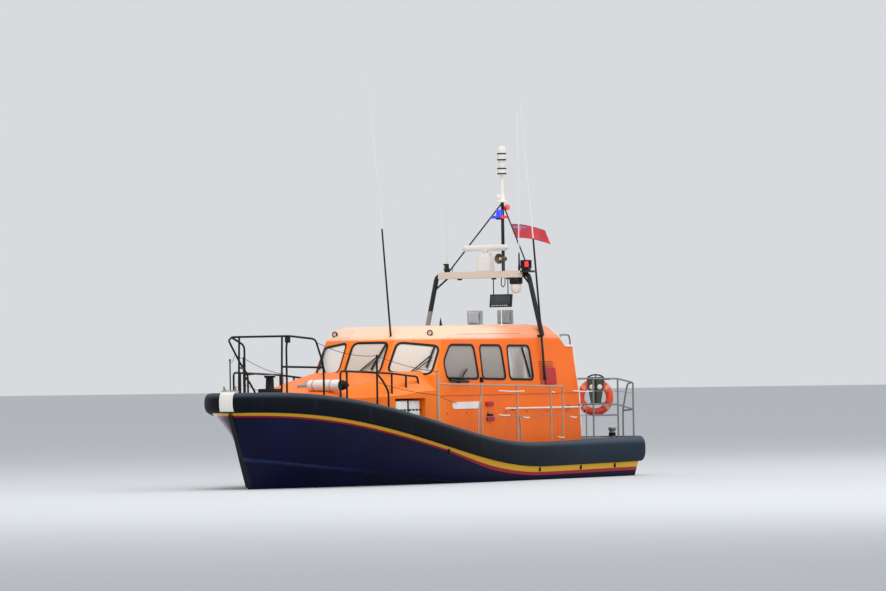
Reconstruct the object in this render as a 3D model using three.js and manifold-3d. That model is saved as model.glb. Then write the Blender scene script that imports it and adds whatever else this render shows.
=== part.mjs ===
// Self-righting waterjet lifeboat, 13.6 m long, afloat at its waterline.
// Millimetres. X runs forward, Y to port and Z up; the origin is amidships on the
// centreline, at the static waterline.
import * as THREE from 'three';
import { mergeVertices } from 'three/addons/utils/BufferGeometryUtils.js';
import Module from 'manifold-3d';

const wasm = await Module();
wasm.setup();

// Driving dimensions
const BOW_REACH = 6730;        // from amidships to the nose of the bow fender
const HALF_BEAM = 2270;        // over the fenders
const TRANSOM_X = -6700;
const FENDER_DEPTH = 170;      // from the hull side to the fender's outer face
const GAP = 0.3;               // what touching pieces keep between them
const STEM_HALF = 50;          // half width of the stem's face
const DECK_DROP = 45;          // the deck lies this far under the top of the fender
const DECK_CAMBER = 45;
const WALL = 36;               // deckhouse wall
const PIPE_R = 22;             // black pulpit and grab rail pipe
const STAINLESS_R = 17;        // guard rail pipe

// Colours, roughness and metalness
const FINISHES = {
  navy: [0x0b1440, 0.3, 0.0],
  orange: [0xf0640f, 0.35, 0.0],
  fender: [0x23262b, 0.8, 0.0],
  black: [0x101114, 0.45, 0.0],
  white: [0xe9e6df, 0.4, 0.0],
  cream: [0xcfc6b6, 0.5, 0.0],
  grey: [0x8d9094, 0.5, 0.1],
  steel: [0xb6b8ba, 0.3, 0.9],
  alloy: [0x9fa3a6, 0.45, 0.8],
  glass: [0x2a2f33, 0.08, 0.0],
  blue: [0x1640c8, 0.2, 0.0],
  red: [0xa3161b, 0.5, 0.0],
  green: [0x0d7a3a, 0.5, 0.0],
  seat: [0x1c1f26, 0.7, 0.0],
};

const boat = new THREE.Group();

// Solids

/** An indexed closed geometry with its faces turned outwards. */
function closed(vertices, faces) {
  let volume = 0;
  for (const [a, b, c] of faces) {
    const [p, q, r] = [vertices[a], vertices[b], vertices[c]];
    volume += p[0] * (q[1] * r[2] - q[2] * r[1]) + p[1] * (q[2] * r[0] - q[0] * r[2])
      + p[2] * (q[0] * r[1] - q[1] * r[0]);
  }
  const outward = volume > 0 ? faces : faces.map(([a, b, c]) => [a, c, b]);
  const geometry = new THREE.BufferGeometry();
  geometry.setAttribute('position', new THREE.Float32BufferAttribute(vertices.flat(), 3));
  geometry.setIndex(outward.flat());
  return geometry;
}

/** Skins a row of rings, each a list of [x, y, z] with the same count, and closes both ends. */
function loft(rings) {
  const count = rings[0].length;
  const vertices = rings.flat();
  const faces = [];
  for (let i = 0; i + 1 < rings.length; i += 1) {
    for (let k = 0; k < count; k += 1) {
      const [a, b] = [i * count + k, i * count + ((k + 1) % count)];
      faces.push([a, b, b + count], [a, b + count, a + count]);
    }
  }
  const ends = [[rings[0], 0, true], [rings.at(-1), vertices.length - count, false]];
  for (const [ring, start, turned] of ends) {
    const centre = [0, 1, 2].map((axis) => ring.reduce((sum, p) => sum + p[axis], 0) / count);
    const hub = vertices.push(centre) - 1;
    for (let k = 0; k < count; k += 1) {
      const [a, b] = [start + k, start + ((k + 1) % count)];
      faces.push(turned ? [hub, b, a] : [hub, a, b]);
    }
  }
  return closed(vertices, faces);
}

/** A round pipe along a list of [x, y, z]. */
function pipe(path, radius, sides = 8) {
  const points = path.map((p) => new THREE.Vector3(...p));
  const legs = points.slice(1).map((p, i) => p.clone().sub(points[i]).normalize());
  let side = new THREE.Vector3(0, 0, 1);
  if (Math.abs(legs[0].z) > 0.9) side = new THREE.Vector3(1, 0, 0);
  const rings = points.map((point, i) => {
    const along = legs[Math.max(i - 1, 0)].clone().add(legs[Math.min(i, legs.length - 1)]).normalize();
    side.addScaledVector(along, -side.dot(along)).normalize();
    const up = along.clone().cross(side);
    return Array.from({ length: sides }, (_, k) => {
      const angle = (k / sides) * 2 * Math.PI;
      return point.clone().addScaledVector(side, radius * Math.cos(angle))
        .addScaledVector(up, radius * Math.sin(angle)).toArray();
    });
  });
  return loft(rings);
}

/** The same path with its inner corners rounded by short chords. */
function bent(path, reach = 90, steps = 3) {
  const points = path.map((p) => new THREE.Vector3(...p));
  const out = [points[0].toArray()];
  for (let i = 1; i + 1 < points.length; i += 1) {
    const [before, corner, after] = [points[i - 1], points[i], points[i + 1]];
    const cutA = Math.min(reach, corner.distanceTo(before) * 0.45);
    const cutB = Math.min(reach, corner.distanceTo(after) * 0.45);
    const start = corner.clone().addScaledVector(before.clone().sub(corner).normalize(), cutA);
    const end = corner.clone().addScaledVector(after.clone().sub(corner).normalize(), cutB);
    const bend = new THREE.QuadraticBezierCurve3(start, corner, end);
    out.push(...bend.getPoints(steps).map((p) => p.toArray()));
  }
  out.push(points.at(-1).toArray());
  return out;
}

const block = (x0, x1, y0, y1, z0, z1) => new THREE.BoxGeometry(x1 - x0, y1 - y0, z1 - z0)
  .translate((x0 + x1) / 2, (y0 + y1) / 2, (z0 + z1) / 2);

/** A cylinder or cone between two points. */
function rod(from, to, radius, endRadius = radius, sides = 12) {
  const [a, b] = [new THREE.Vector3(...from), new THREE.Vector3(...to)];
  const geometry = new THREE.CylinderGeometry(endRadius, radius, a.distanceTo(b), sides);
  const along = b.clone().sub(a).normalize();
  const turn = new THREE.Quaternion().setFromUnitVectors(new THREE.Vector3(0, 1, 0), along);
  return geometry.applyQuaternion(turn).translate(...a.add(b).multiplyScalar(0.5).toArray());
}

const AXIS_FRAMES = {
  x: [new THREE.Vector3(0, 1, 0), new THREE.Vector3(0, 0, 1), new THREE.Vector3(1, 0, 0)],
  y: [new THREE.Vector3(0, 0, 1), new THREE.Vector3(1, 0, 0), new THREE.Vector3(0, 1, 0)],
  z: [new THREE.Vector3(1, 0, 0), new THREE.Vector3(0, 1, 0), new THREE.Vector3(0, 0, 1)],
};

/** An outline pushed along an axis: pairs are (y, z) along x, (z, x) along y and (x, y) along z. */
function prism(outline, axis, from, to) {
  const shape = new THREE.Shape(outline.map(([u, v]) => new THREE.Vector2(u, v)));
  const geometry = new THREE.ExtrudeGeometry(shape, { depth: to - from, bevelEnabled: false });
  const [u, v, w] = AXIS_FRAMES[axis];
  return geometry.translate(0, 0, from).applyMatrix4(new THREE.Matrix4().makeBasis(u, v, w));
}

/** An outline with its corners rounded. */
function eased(outline, radius, steps = 3) {
  const points = outline.map(([u, v]) => new THREE.Vector2(u, v));
  return points.flatMap((corner, i) => {
    const before = points.at(i - 1);
    const after = points[(i + 1) % points.length];
    const start = corner.clone().add(before.clone().sub(corner).setLength(radius));
    const end = corner.clone().add(after.clone().sub(corner).setLength(radius));
    return new THREE.QuadraticBezierCurve(start, corner, end).getPoints(steps).map((p) => p.toArray());
  });
}

function manifold(geometry) {
  const bare = geometry.clone();
  bare.deleteAttribute('normal');
  bare.deleteAttribute('uv');
  const merged = mergeVertices(bare, 0.001);
  const vertProperties = new Float32Array(merged.attributes.position.array);
  const triVerts = new Uint32Array(merged.index.array);
  return new wasm.Manifold(new wasm.Mesh({ numProp: 3, vertProperties, triVerts }));
}

function geometryOf(body) {
  const mesh = body.getMesh();
  const geometry = new THREE.BufferGeometry();
  geometry.setAttribute('position', new THREE.BufferAttribute(new Float32Array(mesh.vertProperties), 3));
  geometry.setIndex(new THREE.BufferAttribute(new Uint32Array(mesh.triVerts), 1));
  return geometry;
}

const fold = (operation) => (first, ...rest) => geometryOf(
  rest.reduce((body, other) => body[operation](manifold(other)), manifold(first)));
const join = fold('add');
const cut = fold('subtract');
const common = fold('intersect');
const mirrored = (geometry) => {
  const flipped = geometry.clone().applyMatrix4(new THREE.Matrix4().makeScale(1, -1, 1));
  const order = flipped.index ? Array.from(flipped.index.array)
    : Array.from({ length: flipped.attributes.position.count }, (_, i) => i);
  const turned = order.map((_, i) => order[i - (i % 3) + [0, 2, 1][i % 3]]);
  flipped.setIndex(turned);
  return flipped;
};

/** A port half that ends on the centre plane, joined with its mirror image. */
const bothSides = (half) => join(half, mirrored(half));

function part(name, geometry, finish) {
  const [color, roughness, metalness] = FINISHES[finish];
  const bare = geometry.clone();
  bare.deleteAttribute('normal');
  bare.deleteAttribute('uv');
  const merged = mergeVertices(bare, 0.001);
  merged.computeVertexNormals();
  const mesh = new THREE.Mesh(merged, new THREE.MeshStandardMaterial({ color, roughness, metalness }));
  mesh.name = name;
  boat.add(mesh);
}

/** The port piece and its mirror image. */
function pair(name, geometry, finish) {
  part(`port_${name}`, geometry, finish);
  part(`starboard_${name}`, mirrored(geometry), finish);
}

// Hull lines

const clamp = (t) => Math.min(Math.max(t, 0), 1);
const smooth = (t) => clamp(t) ** 2 * (3 - 2 * clamp(t));
const aftRise = (x) => clamp((-3000 - x) / 3800);
const fenderTop = (x) => 830 + 1200 * smooth((x + 2200) / 8600) + 60 * aftRise(x);
const fenderFoot = (x) => 290 + 1320 * smooth((x + 2600) / 9200) + 30 * aftRise(x);
const deckEdgeZ = (x) => fenderTop(x) - DECK_DROP;

// Stations along the outer line of the fender: an ellipse round the bow, then straight aft
const BOW_ANGLES = [0, 8, 17, 27, 38, 50, 60, 70, 80, 90];
const SIDE_FENDER_END = -6560;
const AFT_STATIONS = [-1300, -2600, -4200, -5600, SIDE_FENDER_END, TRANSOM_X];
const outline = [
  ...BOW_ANGLES.map((degrees) => {
    const angle = THREE.MathUtils.degToRad(degrees);
    const [along, across] = [Math.cos(angle), Math.sin(angle)];
    const normal = new THREE.Vector2(along / BOW_REACH, across / HALF_BEAM).normalize();
    return { x: BOW_REACH * along, y: HALF_BEAM * across, nx: normal.x, ny: normal.y };
  }),
  ...AFT_STATIONS.map((x) => ({ x, y: HALF_BEAM - 20 * clamp(-x / 6700), nx: 0, ny: 1 })),
];

const CHINE_NOSE_X = 6160;
const KEEL_NOSE_X = 5920;
const chineY = (x) => 1900 * (1 - clamp((x + 1500) / (CHINE_NOSE_X + 1500)) ** 2);
const chineZ = (x) => -280 + 900 * clamp((x + 4000) / (CHINE_NOSE_X + 4000)) ** 1.3;
const keelZ = (x) => 50 - 1000 * (1 - (1 - clamp((KEEL_NOSE_X - x) / 3500)) ** 2.2)
  + 150 * clamp(-x / 6700);

/** One half section of the hull, from the keel up to the deck's edge. */
function hullSection(station, raise) {
  const sideX = station.x - station.nx * FENDER_DEPTH;
  const sideY = Math.max(station.y - station.ny * FENDER_DEPTH, STEM_HALF);
  const front = (sideX - TRANSOM_X) / (BOW_REACH - FENDER_DEPTH - TRANSOM_X);
  const stemEase = station.ny === 0 ? 14 : 0;
  const chineX = TRANSOM_X + front * (CHINE_NOSE_X - TRANSOM_X);
  const keelX = TRANSOM_X + front * (KEEL_NOSE_X - TRANSOM_X);
  const outerChine = Math.max(chineY(chineX), STEM_HALF);
  const innerChine = Math.max(outerChine - 90 * clamp((outerChine - STEM_HALF) / 300), STEM_HALF);
  const flare = 0.5 - 0.14 * smooth((sideX - 1000) / 5000);
  const foot = fenderFoot(sideX);
  const deck = deckEdgeZ(sideX) + raise;
  return [
    [keelX, STEM_HALF, keelZ(keelX)],
    [chineX, innerChine, chineZ(chineX) - 20],
    [chineX, outerChine, chineZ(chineX)],
    [(chineX + sideX - stemEase) / 2, outerChine + (sideY - outerChine) * flare,
      (chineZ(chineX) + foot) / 2],
    [sideX - stemEase, sideY, foot],
    [sideX - stemEase, sideY, deck],
  ];
}

/** The decked hull; raise lifts the deck a little, to cut what stands on it. */
function hullBody(raise = 0) {
  return bothSides(loft(outline.map((station) => {
    const half = hullSection(station, raise);
    const [keelX, , keelLow] = half[0];
    const [x, y, z] = half.at(-1);
    const camber = DECK_CAMBER * clamp(y / 2000);
    return [[keelX, 0, keelLow], ...half, [x, y * 0.5, z + camber * 0.75], [x, 0, z + camber]];
  })));
}

const hullCutter = hullBody(GAP);
const onDeck = (geometry) => cut(geometry, hullCutter);
const deckZ = (x, y = 0) => {
  const edge = deckEdgeZ(x);
  return edge + DECK_CAMBER * (1 - clamp(Math.abs(y) / 2100));
};

// The stern recess holds the waterjets, the engine room the two engines under the aft hatch
const RECESS = { x: -6150, halfY: 1300, topZ: 60 };
const ENGINE_ROOM = { aftX: -6050, foreX: -4200, halfY: 1300, footZ: -330, topZ: 740 };
const HATCHWAY = { aftX: -6000, foreX: -5150, halfY: 800 };
part('hull', cut(
  hullBody(),
  block(TRANSOM_X - 100, RECESS.x, -RECESS.halfY, RECESS.halfY, -1200, RECESS.topZ),
  block(ENGINE_ROOM.aftX, ENGINE_ROOM.foreX, -ENGINE_ROOM.halfY, ENGINE_ROOM.halfY,
    ENGINE_ROOM.footZ, ENGINE_ROOM.topZ),
  block(HATCHWAY.aftX, HATCHWAY.foreX, -HATCHWAY.halfY, HATCHWAY.halfY, 400, 1200),
), 'navy');

// Fenders: a D section round the whole boat, in four lengths

/** The fender's D section at a station: offset from the hull side, then height. */
function fenderRing(station, grow = 0) {
  const [foot, top] = [fenderFoot(station.x) - grow, fenderTop(station.x) + grow];
  const depth = FENDER_DEPTH + grow;
  const section = [
    [GAP, foot], [depth * 0.55, foot + 8], [depth * 0.88, foot + 60], [depth, foot + 150],
    [depth, top - 170], [depth * 0.86, top - 60], [depth * 0.5, top - 4], [GAP, top],
  ];
  return section.map(([out, z]) => {
    const reach = out - FENDER_DEPTH;
    return [station.x + station.nx * reach, station.y + station.ny * reach, z];
  });
}

const mirrorStation = ({ x, y, nx, ny }) => ({ x, y: -y, nx, ny: -ny });
const BOW_SPAN = 5;
const bowStations = [
  ...outline.slice(1, BOW_SPAN).reverse().map(mirrorStation), ...outline.slice(0, BOW_SPAN)];
const bowFender = (grow) => loft(bowStations.map((station) => fenderRing(station, grow)));
part('bow_fender', bowFender(0), 'fender');

const sideStations = outline.slice(BOW_SPAN - 1, -1);
const jointStep = { x: -sideStations[0].ny, y: sideStations[0].nx };
sideStations[0] = {
  ...sideStations[0],
  x: sideStations[0].x + jointStep.x * 2 * GAP,
  y: sideStations[0].y + jointStep.y * 2 * GAP,
};
pair('fender', loft(sideStations.map((station) => fenderRing(station, 0))), 'fender');

// The stern length turns both corners of the transom
const sternInnerY = outline.at(-1).y - FENDER_DEPTH;
const cornerStation = (degrees) => {
  const angle = THREE.MathUtils.degToRad(degrees);
  const [nx, ny] = [-Math.sin(angle), Math.cos(angle)];
  return { x: TRANSOM_X + nx * FENDER_DEPTH, y: sternInnerY + ny * FENDER_DEPTH, nx, ny };
};
const portCorner = [
  { ...outline.at(-2), x: SIDE_FENDER_END - 2 * GAP },
  ...[0, 30, 60, 90].map(cornerStation),
];
part('stern_fender', loft([...portCorner, ...portCorner.map(mirrorStation).reverse()].map(
  (station) => fenderRing(station, 0))), 'fender');

// Bow fittings

const STEM_TOP_Z = 1560;
const stemLine = outline.slice(0, 1).map((station) => hullSection(station, 0))[0];
const stemPoint = (i) => [stemLine[i][0], stemLine[i][2]];
const stemProfile = [stemPoint(0), stemPoint(2), stemPoint(3), [stemLine[4][0], STEM_TOP_Z]];
const stemFront = stemProfile.map(([x, z]) => [x + 28, z - 8]).reverse();
part('stem_guard', cut(prism([...stemProfile.map(([x, z]) => [z, x + GAP + 0.2]),
  ...stemFront.map(([x, z]) => [z, x])], 'y', -STEM_HALF, STEM_HALF), bowFender(GAP),
  hullBody().translate(GAP, 0, 0)), 'black');

// A white wear pad over the nose of the fender, with a two-horned fairlead on it
const PAD = { halfY: 165, thick: 26, foreX: 6760, aftX: 6440 };
const padBlock = block(PAD.aftX, PAD.foreX + 40, -PAD.halfY, PAD.halfY, 1640, 2080);
const HORNS = { x: 6560, y: 125, topZ: 2165, r: 30 };
const padSkin = cut(common(bowFender(PAD.thick), padBlock), bowFender(GAP));
const fairlead = block(6470, 6640, -PAD.halfY, PAD.halfY, 2040, 2082);
const horns = [-1, 1].map((side) => rod([HORNS.x, side * HORNS.y, 2060],
  [HORNS.x, side * (HORNS.y + 25), HORNS.topZ], HORNS.r, HORNS.r * 0.6, 8));
part('bow_fairlead', cut(join(padSkin, fairlead, ...horns), bowFender(GAP), hullCutter), 'white');

// Deckhouse: rings from the deck up to the roof, columns as named
// z, front x, corner x, corner y, aft y
const HOUSE_RINGS = [
  [400, 1520, 1060, 1660, 1660],
  [1880, 1520, 1060, 1660, 1660],
  [2330, 1500, 950, 1620, 1610],
  [3050, 1070, 562, 1540, 1540],
  [3180, 980, 495, 1495, 1495],
  [3330, 760, 330, 1390, 1390],
  [3390, 520, 160, 1260, 1260],
];
// The aft bulkhead is one plane, leaning forward as it rises
const BULKHEAD = { x: -5065, lean: 0.088 };
const bulkheadX = (z) => BULKHEAD.x + BULKHEAD.lean * z;
const HALF_FRONT = 570;
const ROOF_Z = 3390;
const CORNER_EASE = 60;

/** The deckhouse volume, shrunk by an inset (grown where it is negative). */
function houseVolume(inset = 0) {
  const rings = HOUSE_RINGS.map(([z, frontX, cornerX, cornerY, aftY]) => {
    const [fx, cx, cy, ay] = [frontX - inset, cornerX - inset, cornerY - inset, aftY - inset];
    const level = z > 3000 ? z - inset * (z - 3000) / (ROOF_Z - 3000) : z;
    const ax = bulkheadX(level) + inset;
    const along = new THREE.Vector2(fx - cx, HALF_FRONT - cy).setLength(CORNER_EASE);
    const half = [
      [fx, 0], [fx, HALF_FRONT], [cx + along.x, cy + along.y], [cx - CORNER_EASE, cy],
      [ax + CORNER_EASE, ay], [ax, ay - CORNER_EASE], [ax, 0],
    ];
    return half.map(([x, y]) => [x, y, level]);
  });
  const slope = [[3700, -3985 + inset], [ROOF_Z - inset, -3985 + inset], [2920 - inset, -4455 + inset],
    [2920 - inset, -5400], [3700, -5400]];
  return cut(bothSides(loft(rings)), prism(slope, 'y', -2000, 2000));
}

const houseCutter = houseVolume(-GAP);
const onHouse = (geometry) => cut(geometry, houseCutter);

// Side windows as four corners each, x then z; the front one leans with the windscreen
const SIDE_WINDOWS = [
  [[600, 2270], [660, 2620], [350, 2960], [-590, 2950], [-680, 2250]],
  [[-870, 2250], [-870, 2945], [-1720, 2935], [-1800, 2230]],
  [[-2000, 2230], [-2000, 2930], [-2900, 2920], [-2960, 2210]],
];
// Windscreen panes by their corners: distance across the facet from its middle, then z
const PANES = {
  centre: [[-440, 2400], [440, 2400], [435, 3030], [-435, 3030]],
  side: [[-490, 2425], [425, 2360], [585, 2940], [-300, 3030]],
};
const PANE_EASE = 130;
const PANE_MID_Z = 2700;
const SIDE_EASE = 100;
const FACETS = (() => {
  const [foot, head] = [HOUSE_RINGS[2], HOUSE_RINGS[3]];
  const at = (ring, y, side) => new THREE.Vector3(side ? (ring[1] + ring[2]) / 2 : ring[1],
    side ? (side * (HALF_FRONT + ring[3])) / 2 : y, ring[0]);
  return [0, 1, -1].map((side) => {
    const [low, high] = [at(foot, 0, side), at(head, 0, side)];
    const across = side
      ? new THREE.Vector3(head[2] - head[1], side * (head[3] - HALF_FRONT), 0).normalize()
      : new THREE.Vector3(0, 1, 0);
    const up = high.clone().sub(low);
    up.addScaledVector(across, -up.dot(across)).normalize();
    return { low, across, up, normal: across.clone().cross(up).normalize(), side };
  });
})();

/** A prism through one windscreen facet, shrunk by the joint round the glass. */
function paneCutter({ low, across, up, normal, side }, shrink) {
  const rise = (z) => (z - low.z) / up.z;
  const corners = (side ? PANES.side : PANES.centre).map(([u, z]) => (
    [u - shrink * Math.sign(u), rise(z) - shrink * Math.sign(z - PANE_MID_Z)]));
  const shape = new THREE.Shape(eased(corners, PANE_EASE).map(([u, v]) => new THREE.Vector2(u, v)));
  const geometry = new THREE.ExtrudeGeometry(shape, { depth: 500, bevelEnabled: false });
  return geometry.translate(0, 0, -250)
    .applyMatrix4(new THREE.Matrix4().makeBasis(across, up, normal).setPosition(low));
}

/** A prism through both side walls for one side window. */
function sideCutter(corners, shrink, from, to) {
  const count = corners.length;
  const [midX, midZ] = corners.reduce(([u, v], [x, z]) => [u + x / count, v + z / count], [0, 0]);
  const drawn = corners.map(([x, z]) => (
    [z - shrink * Math.sign(z - midZ), x - shrink * Math.sign(x - midX)]));
  return prism(eased(drawn, SIDE_EASE), 'y', from, to);
}

const JOINT = 2;
const GLASS = { out: 12, in: 46, liner: WALL + GAP };
const DOOR = { halfY: 330, footZ: 1010, headZ: 2640 };
const WELL = { foreX: -2560, aftX: -3880, halfY: 880, footZ: 2330 };
const wellOpening = block(WELL.aftX, WELL.foreX, -WELL.halfY, WELL.halfY, 3000, 3600);
const doorOpening = block(-5200, -4500, -DOOR.halfY, DOOR.halfY, DOOR.footZ, DOOR.headZ);
const windowCutters = (shrink) => [
  ...FACETS.map((facet) => paneCutter(facet, shrink)),
  ...SIDE_WINDOWS.map((corners) => sideCutter(corners, shrink, 1300, 1900)),
  ...SIDE_WINDOWS.map((corners) => sideCutter(corners, shrink, -1900, -1300)),
];
const houseInside = houseVolume(WALL);
part('deckhouse', cut(houseVolume(), houseInside, hullCutter, wellOpening, doorOpening,
  ...windowCutters(0)), 'orange');

// Glazing: panes in the openings, bonded to a thin liner inside the wall
const linerShell = cut(houseVolume(GLASS.liner), houseVolume(GLASS.in));
const paneShell = cut(houseVolume(GLASS.out), houseVolume(GLASS.in));
const frontBand = prism([[2280, -900], [2280, 1700], [3085, 1700], [3085, -900]], 'y', -1340, 1340);
const frontBlock = common(linerShell, frontBand, block(330, 1700, -1400, 1400, 2300, 3070));
const frontPanes = FACETS.map((facet) => common(paneShell, paneCutter(facet, JOINT)));
part('windscreen', join(frontBlock, ...frontPanes), 'glass');
const sideBand = common(linerShell, block(-3080, 560, 1400, 1700, 2150, 3020));
pair('windows', join(sideBand, ...SIDE_WINDOWS.map(
  (corners) => common(paneShell, sideCutter(corners, JOINT, 1300, 1900)))), 'glass');

// The trunk ahead of the windscreen, columns: x, edge y, edge z, top y, top z
const TRUNK_RINGS = [
  [4480, 880, 1870, 640, 1920],
  [4250, 1040, 1885, 760, 1985],
  [3400, 1330, 1870, 980, 2120],
  [2400, 1500, 1905, 1130, 2270],
  [1500, 1590, 1985, 1240, 2400],
  [700, 1640, 2020, 1300, 2440],
];
const RAFT_BAY = { aftX: 1440, foreX: 2480, footZ: 1200, headZ: 1840, inY: 1010 };
const trunkBody = bothSides(loft(TRUNK_RINGS.map(([x, edgeY, edgeZ, topY, topZ]) => [
  [x, 0, deckEdgeZ(x) - 250], [x, edgeY, deckEdgeZ(x) - 250], [x, edgeY, edgeZ],
  [x, topY, topZ], [x, 0, topZ + 25],
])));
const FORE_HATCH = { foreX: 3560, aftX: 2960, halfY: 300, thick: 45 };
const raftBays = [-1, 1].map((side) => block(RAFT_BAY.aftX, RAFT_BAY.foreX,
  Math.min(side * RAFT_BAY.inY, side * 1800), Math.max(side * RAFT_BAY.inY, side * 1800),
  RAFT_BAY.footZ, RAFT_BAY.headZ));
const HATCH_PIT = { frame: 40, footZ: 1760 };
part('foredeck_trunk', cut(trunkBody, hullCutter, houseCutter, ...raftBays,
  block(FORE_HATCH.aftX + HATCH_PIT.frame, FORE_HATCH.foreX - HATCH_PIT.frame,
    -FORE_HATCH.halfY + HATCH_PIT.frame, FORE_HATCH.halfY - HATCH_PIT.frame,
    HATCH_PIT.footZ, 2400)), 'orange');
const trunkGrown = trunkBody.clone().translate(0, 0, GAP);
const onTrunk = (geometry) => cut(geometry, trunkGrown, houseCutter, hullCutter);
const foreHatch = block(FORE_HATCH.aftX, FORE_HATCH.foreX, -FORE_HATCH.halfY, FORE_HATCH.halfY,
  2060, 2300);
const trunkRaised = trunkBody.clone().translate(0, 0, FORE_HATCH.thick);
part('foredeck_hatch', onTrunk(common(foreHatch, trunkRaised)), 'grey');
const RAFT = { foreX: 2440, aftX: 1480, inY: 1060, outY: 1500, footZ: 1250, headZ: 1800 };
pair('liferaft', onDeck(block(RAFT.aftX, RAFT.foreX, RAFT.inY, RAFT.outY,
  RAFT.footZ, RAFT.headZ)), 'white');

// Aft door, hung on three barrels outside the bulkhead at its port edge
const LEAF = { clear: 8, proud: 4 };
const HINGE = { y: DOOR.halfY + 6, r: 12, high: 110, levels: [140, 760, 1400] };
const againstBulkhead = (geometry) => geometry.rotateY(Math.atan(BULKHEAD.lean))
  .translate(bulkheadX(DOOR.footZ), 0, DOOR.footZ);
const doorLeaf = common(
  block(-5200, -4500, -DOOR.halfY + LEAF.clear, DOOR.halfY - LEAF.clear, DOOR.footZ + LEAF.clear,
    DOOR.headZ - LEAF.clear),
  cut(houseVolume(-LEAF.proud), houseVolume(WALL - LEAF.proud)));
const doorHinges = HINGE.levels.flatMap((z) => [
  againstBulkhead(rod([-HINGE.r - GAP, HINGE.y, z], [-HINGE.r - GAP, HINGE.y, z + HINGE.high], HINGE.r)),
  againstBulkhead(block(-HINGE.r - 4, 1 - LEAF.proud, HINGE.y - 60, HINGE.y, z, z + HINGE.high)),
]);
part('aft_door', join(doorLeaf, ...doorHinges), 'orange');

// Upper steering position: a well let into the roof
const WELL_WALL = 20;
const lip = { out: 45, high: 30 };
const wellBody = cut(
  join(block(WELL.aftX + 1, WELL.foreX - 1, -WELL.halfY + 1, WELL.halfY - 1,
    WELL.footZ, ROOF_Z + lip.high),
    block(WELL.aftX - lip.out, WELL.foreX + lip.out, -WELL.halfY - lip.out, WELL.halfY + lip.out,
      ROOF_Z + GAP, ROOF_Z + lip.high)),
  block(WELL.aftX + WELL_WALL, WELL.foreX - WELL_WALL, -WELL.halfY + WELL_WALL, WELL.halfY - WELL_WALL,
    WELL.footZ + WELL_WALL, ROOF_Z + 200));
part('upper_cockpit', wellBody, 'cream');
const HELM = { foreX: WELL.foreX - WELL_WALL - GAP, depth: 260, inY: 60, outY: 820, topZ: 3415 };
const helmFloor = WELL.footZ + WELL_WALL + GAP;
const helmProfile = [[helmFloor, HELM.foreX], [HELM.topZ, HELM.foreX], [HELM.topZ, HELM.foreX - 90],
  [3240, HELM.foreX - HELM.depth], [helmFloor, HELM.foreX - HELM.depth]];
part('upper_console', prism(helmProfile, 'y', HELM.inY, HELM.outY), 'cream');
const SEAT = {
  foreX: -3420, aftX: WELL.aftX + WELL_WALL + GAP, inY: 190, outY: 600, z: 2860, backZ: 3740,
};
const helmSeat = join(
  block(SEAT.aftX, SEAT.foreX, SEAT.inY, SEAT.outY, 2690, SEAT.z),
  block(SEAT.aftX, SEAT.aftX + 110, SEAT.inY, SEAT.outY, SEAT.z - 20, SEAT.backZ));
part('upper_seat', join(helmSeat, mirrored(helmSeat),
  block(SEAT.aftX, SEAT.foreX - 40, -SEAT.outY, SEAT.outY, helmFloor, 2700)), 'seat');

// Inside: six seats on two plinths and the helm console under the windscreen
const SEAT_X = [-700, -1900, -3100];
const SOLE_Z = 1110;
const seatSide = [
  block(-3400, -250, 600, 1120, 700, 1180),
  ...SEAT_X.flatMap((x) => [
    block(x - 60, x + 480, 620, 1100, 1170, 1620),
    block(x - 60, x + 60, 640, 1080, 1600, 2220),
  ]),
];
part('cabin_seats', onDeck(join(block(-3500, 200, -1200, 1200, 700, SOLE_Z), ...seatSide,
  ...seatSide.map(mirrored))), 'seat');
part('helm_console', onDeck(prism([[1000, 420], [1900, 420], [2180, 760], [2180, 1000], [1000, 1000]],
  'y', -1250, 1250)), 'seat');

// Engines: plain blocks at their place
const ENGINE = {
  aftX: -5950, foreX: -4420, inY: 330, outY: 1130, footZ: ENGINE_ROOM.footZ + GAP, topZ: 520,
};
const engine = block(ENGINE.aftX, ENGINE.foreX, ENGINE.inY, ENGINE.outY, ENGINE.footZ, ENGINE.topZ);
const bearer = (x) => block(x, x + 120, -ENGINE.outY, ENGINE.outY, ENGINE.footZ, ENGINE.footZ + 120);
part('engines', join(engine, mirrored(engine), bearer(-5700), bearer(-4800)), 'grey');

// Hatch over the engine room, hinged along its aft edge, its underside following the deck
const LID = { edge: 60, thick: 40 };
const lidTop = deckEdgeZ(HATCHWAY.aftX) + DECK_CAMBER + LID.thick;
part('engine_hatch', onDeck(block(HATCHWAY.aftX - LID.edge, HATCHWAY.foreX + LID.edge,
  -HATCHWAY.halfY - LID.edge, HATCHWAY.halfY + LID.edge, lidTop - 2 * LID.thick, lidTop)), 'orange');

// Gantry over the steering well
const GANTRY = {
  x: -3550, halfY: 1090, kneeY: 1190, footY: 1520, topZ: 4600, lowZ: 4450, halfX: 120, legR: 55,
};
const beam = block(GANTRY.x - GANTRY.halfX, GANTRY.x + GANTRY.halfX, -GANTRY.halfY, GANTRY.halfY,
  GANTRY.lowZ, GANTRY.topZ);
const SHELF = { aftX: -4560, halfY: 170, z: 4500, thick: 60 };
const shelf = block(SHELF.aftX, GANTRY.x, -SHELF.halfY, SHELF.halfY, SHELF.z, SHELF.z + SHELF.thick);
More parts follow.
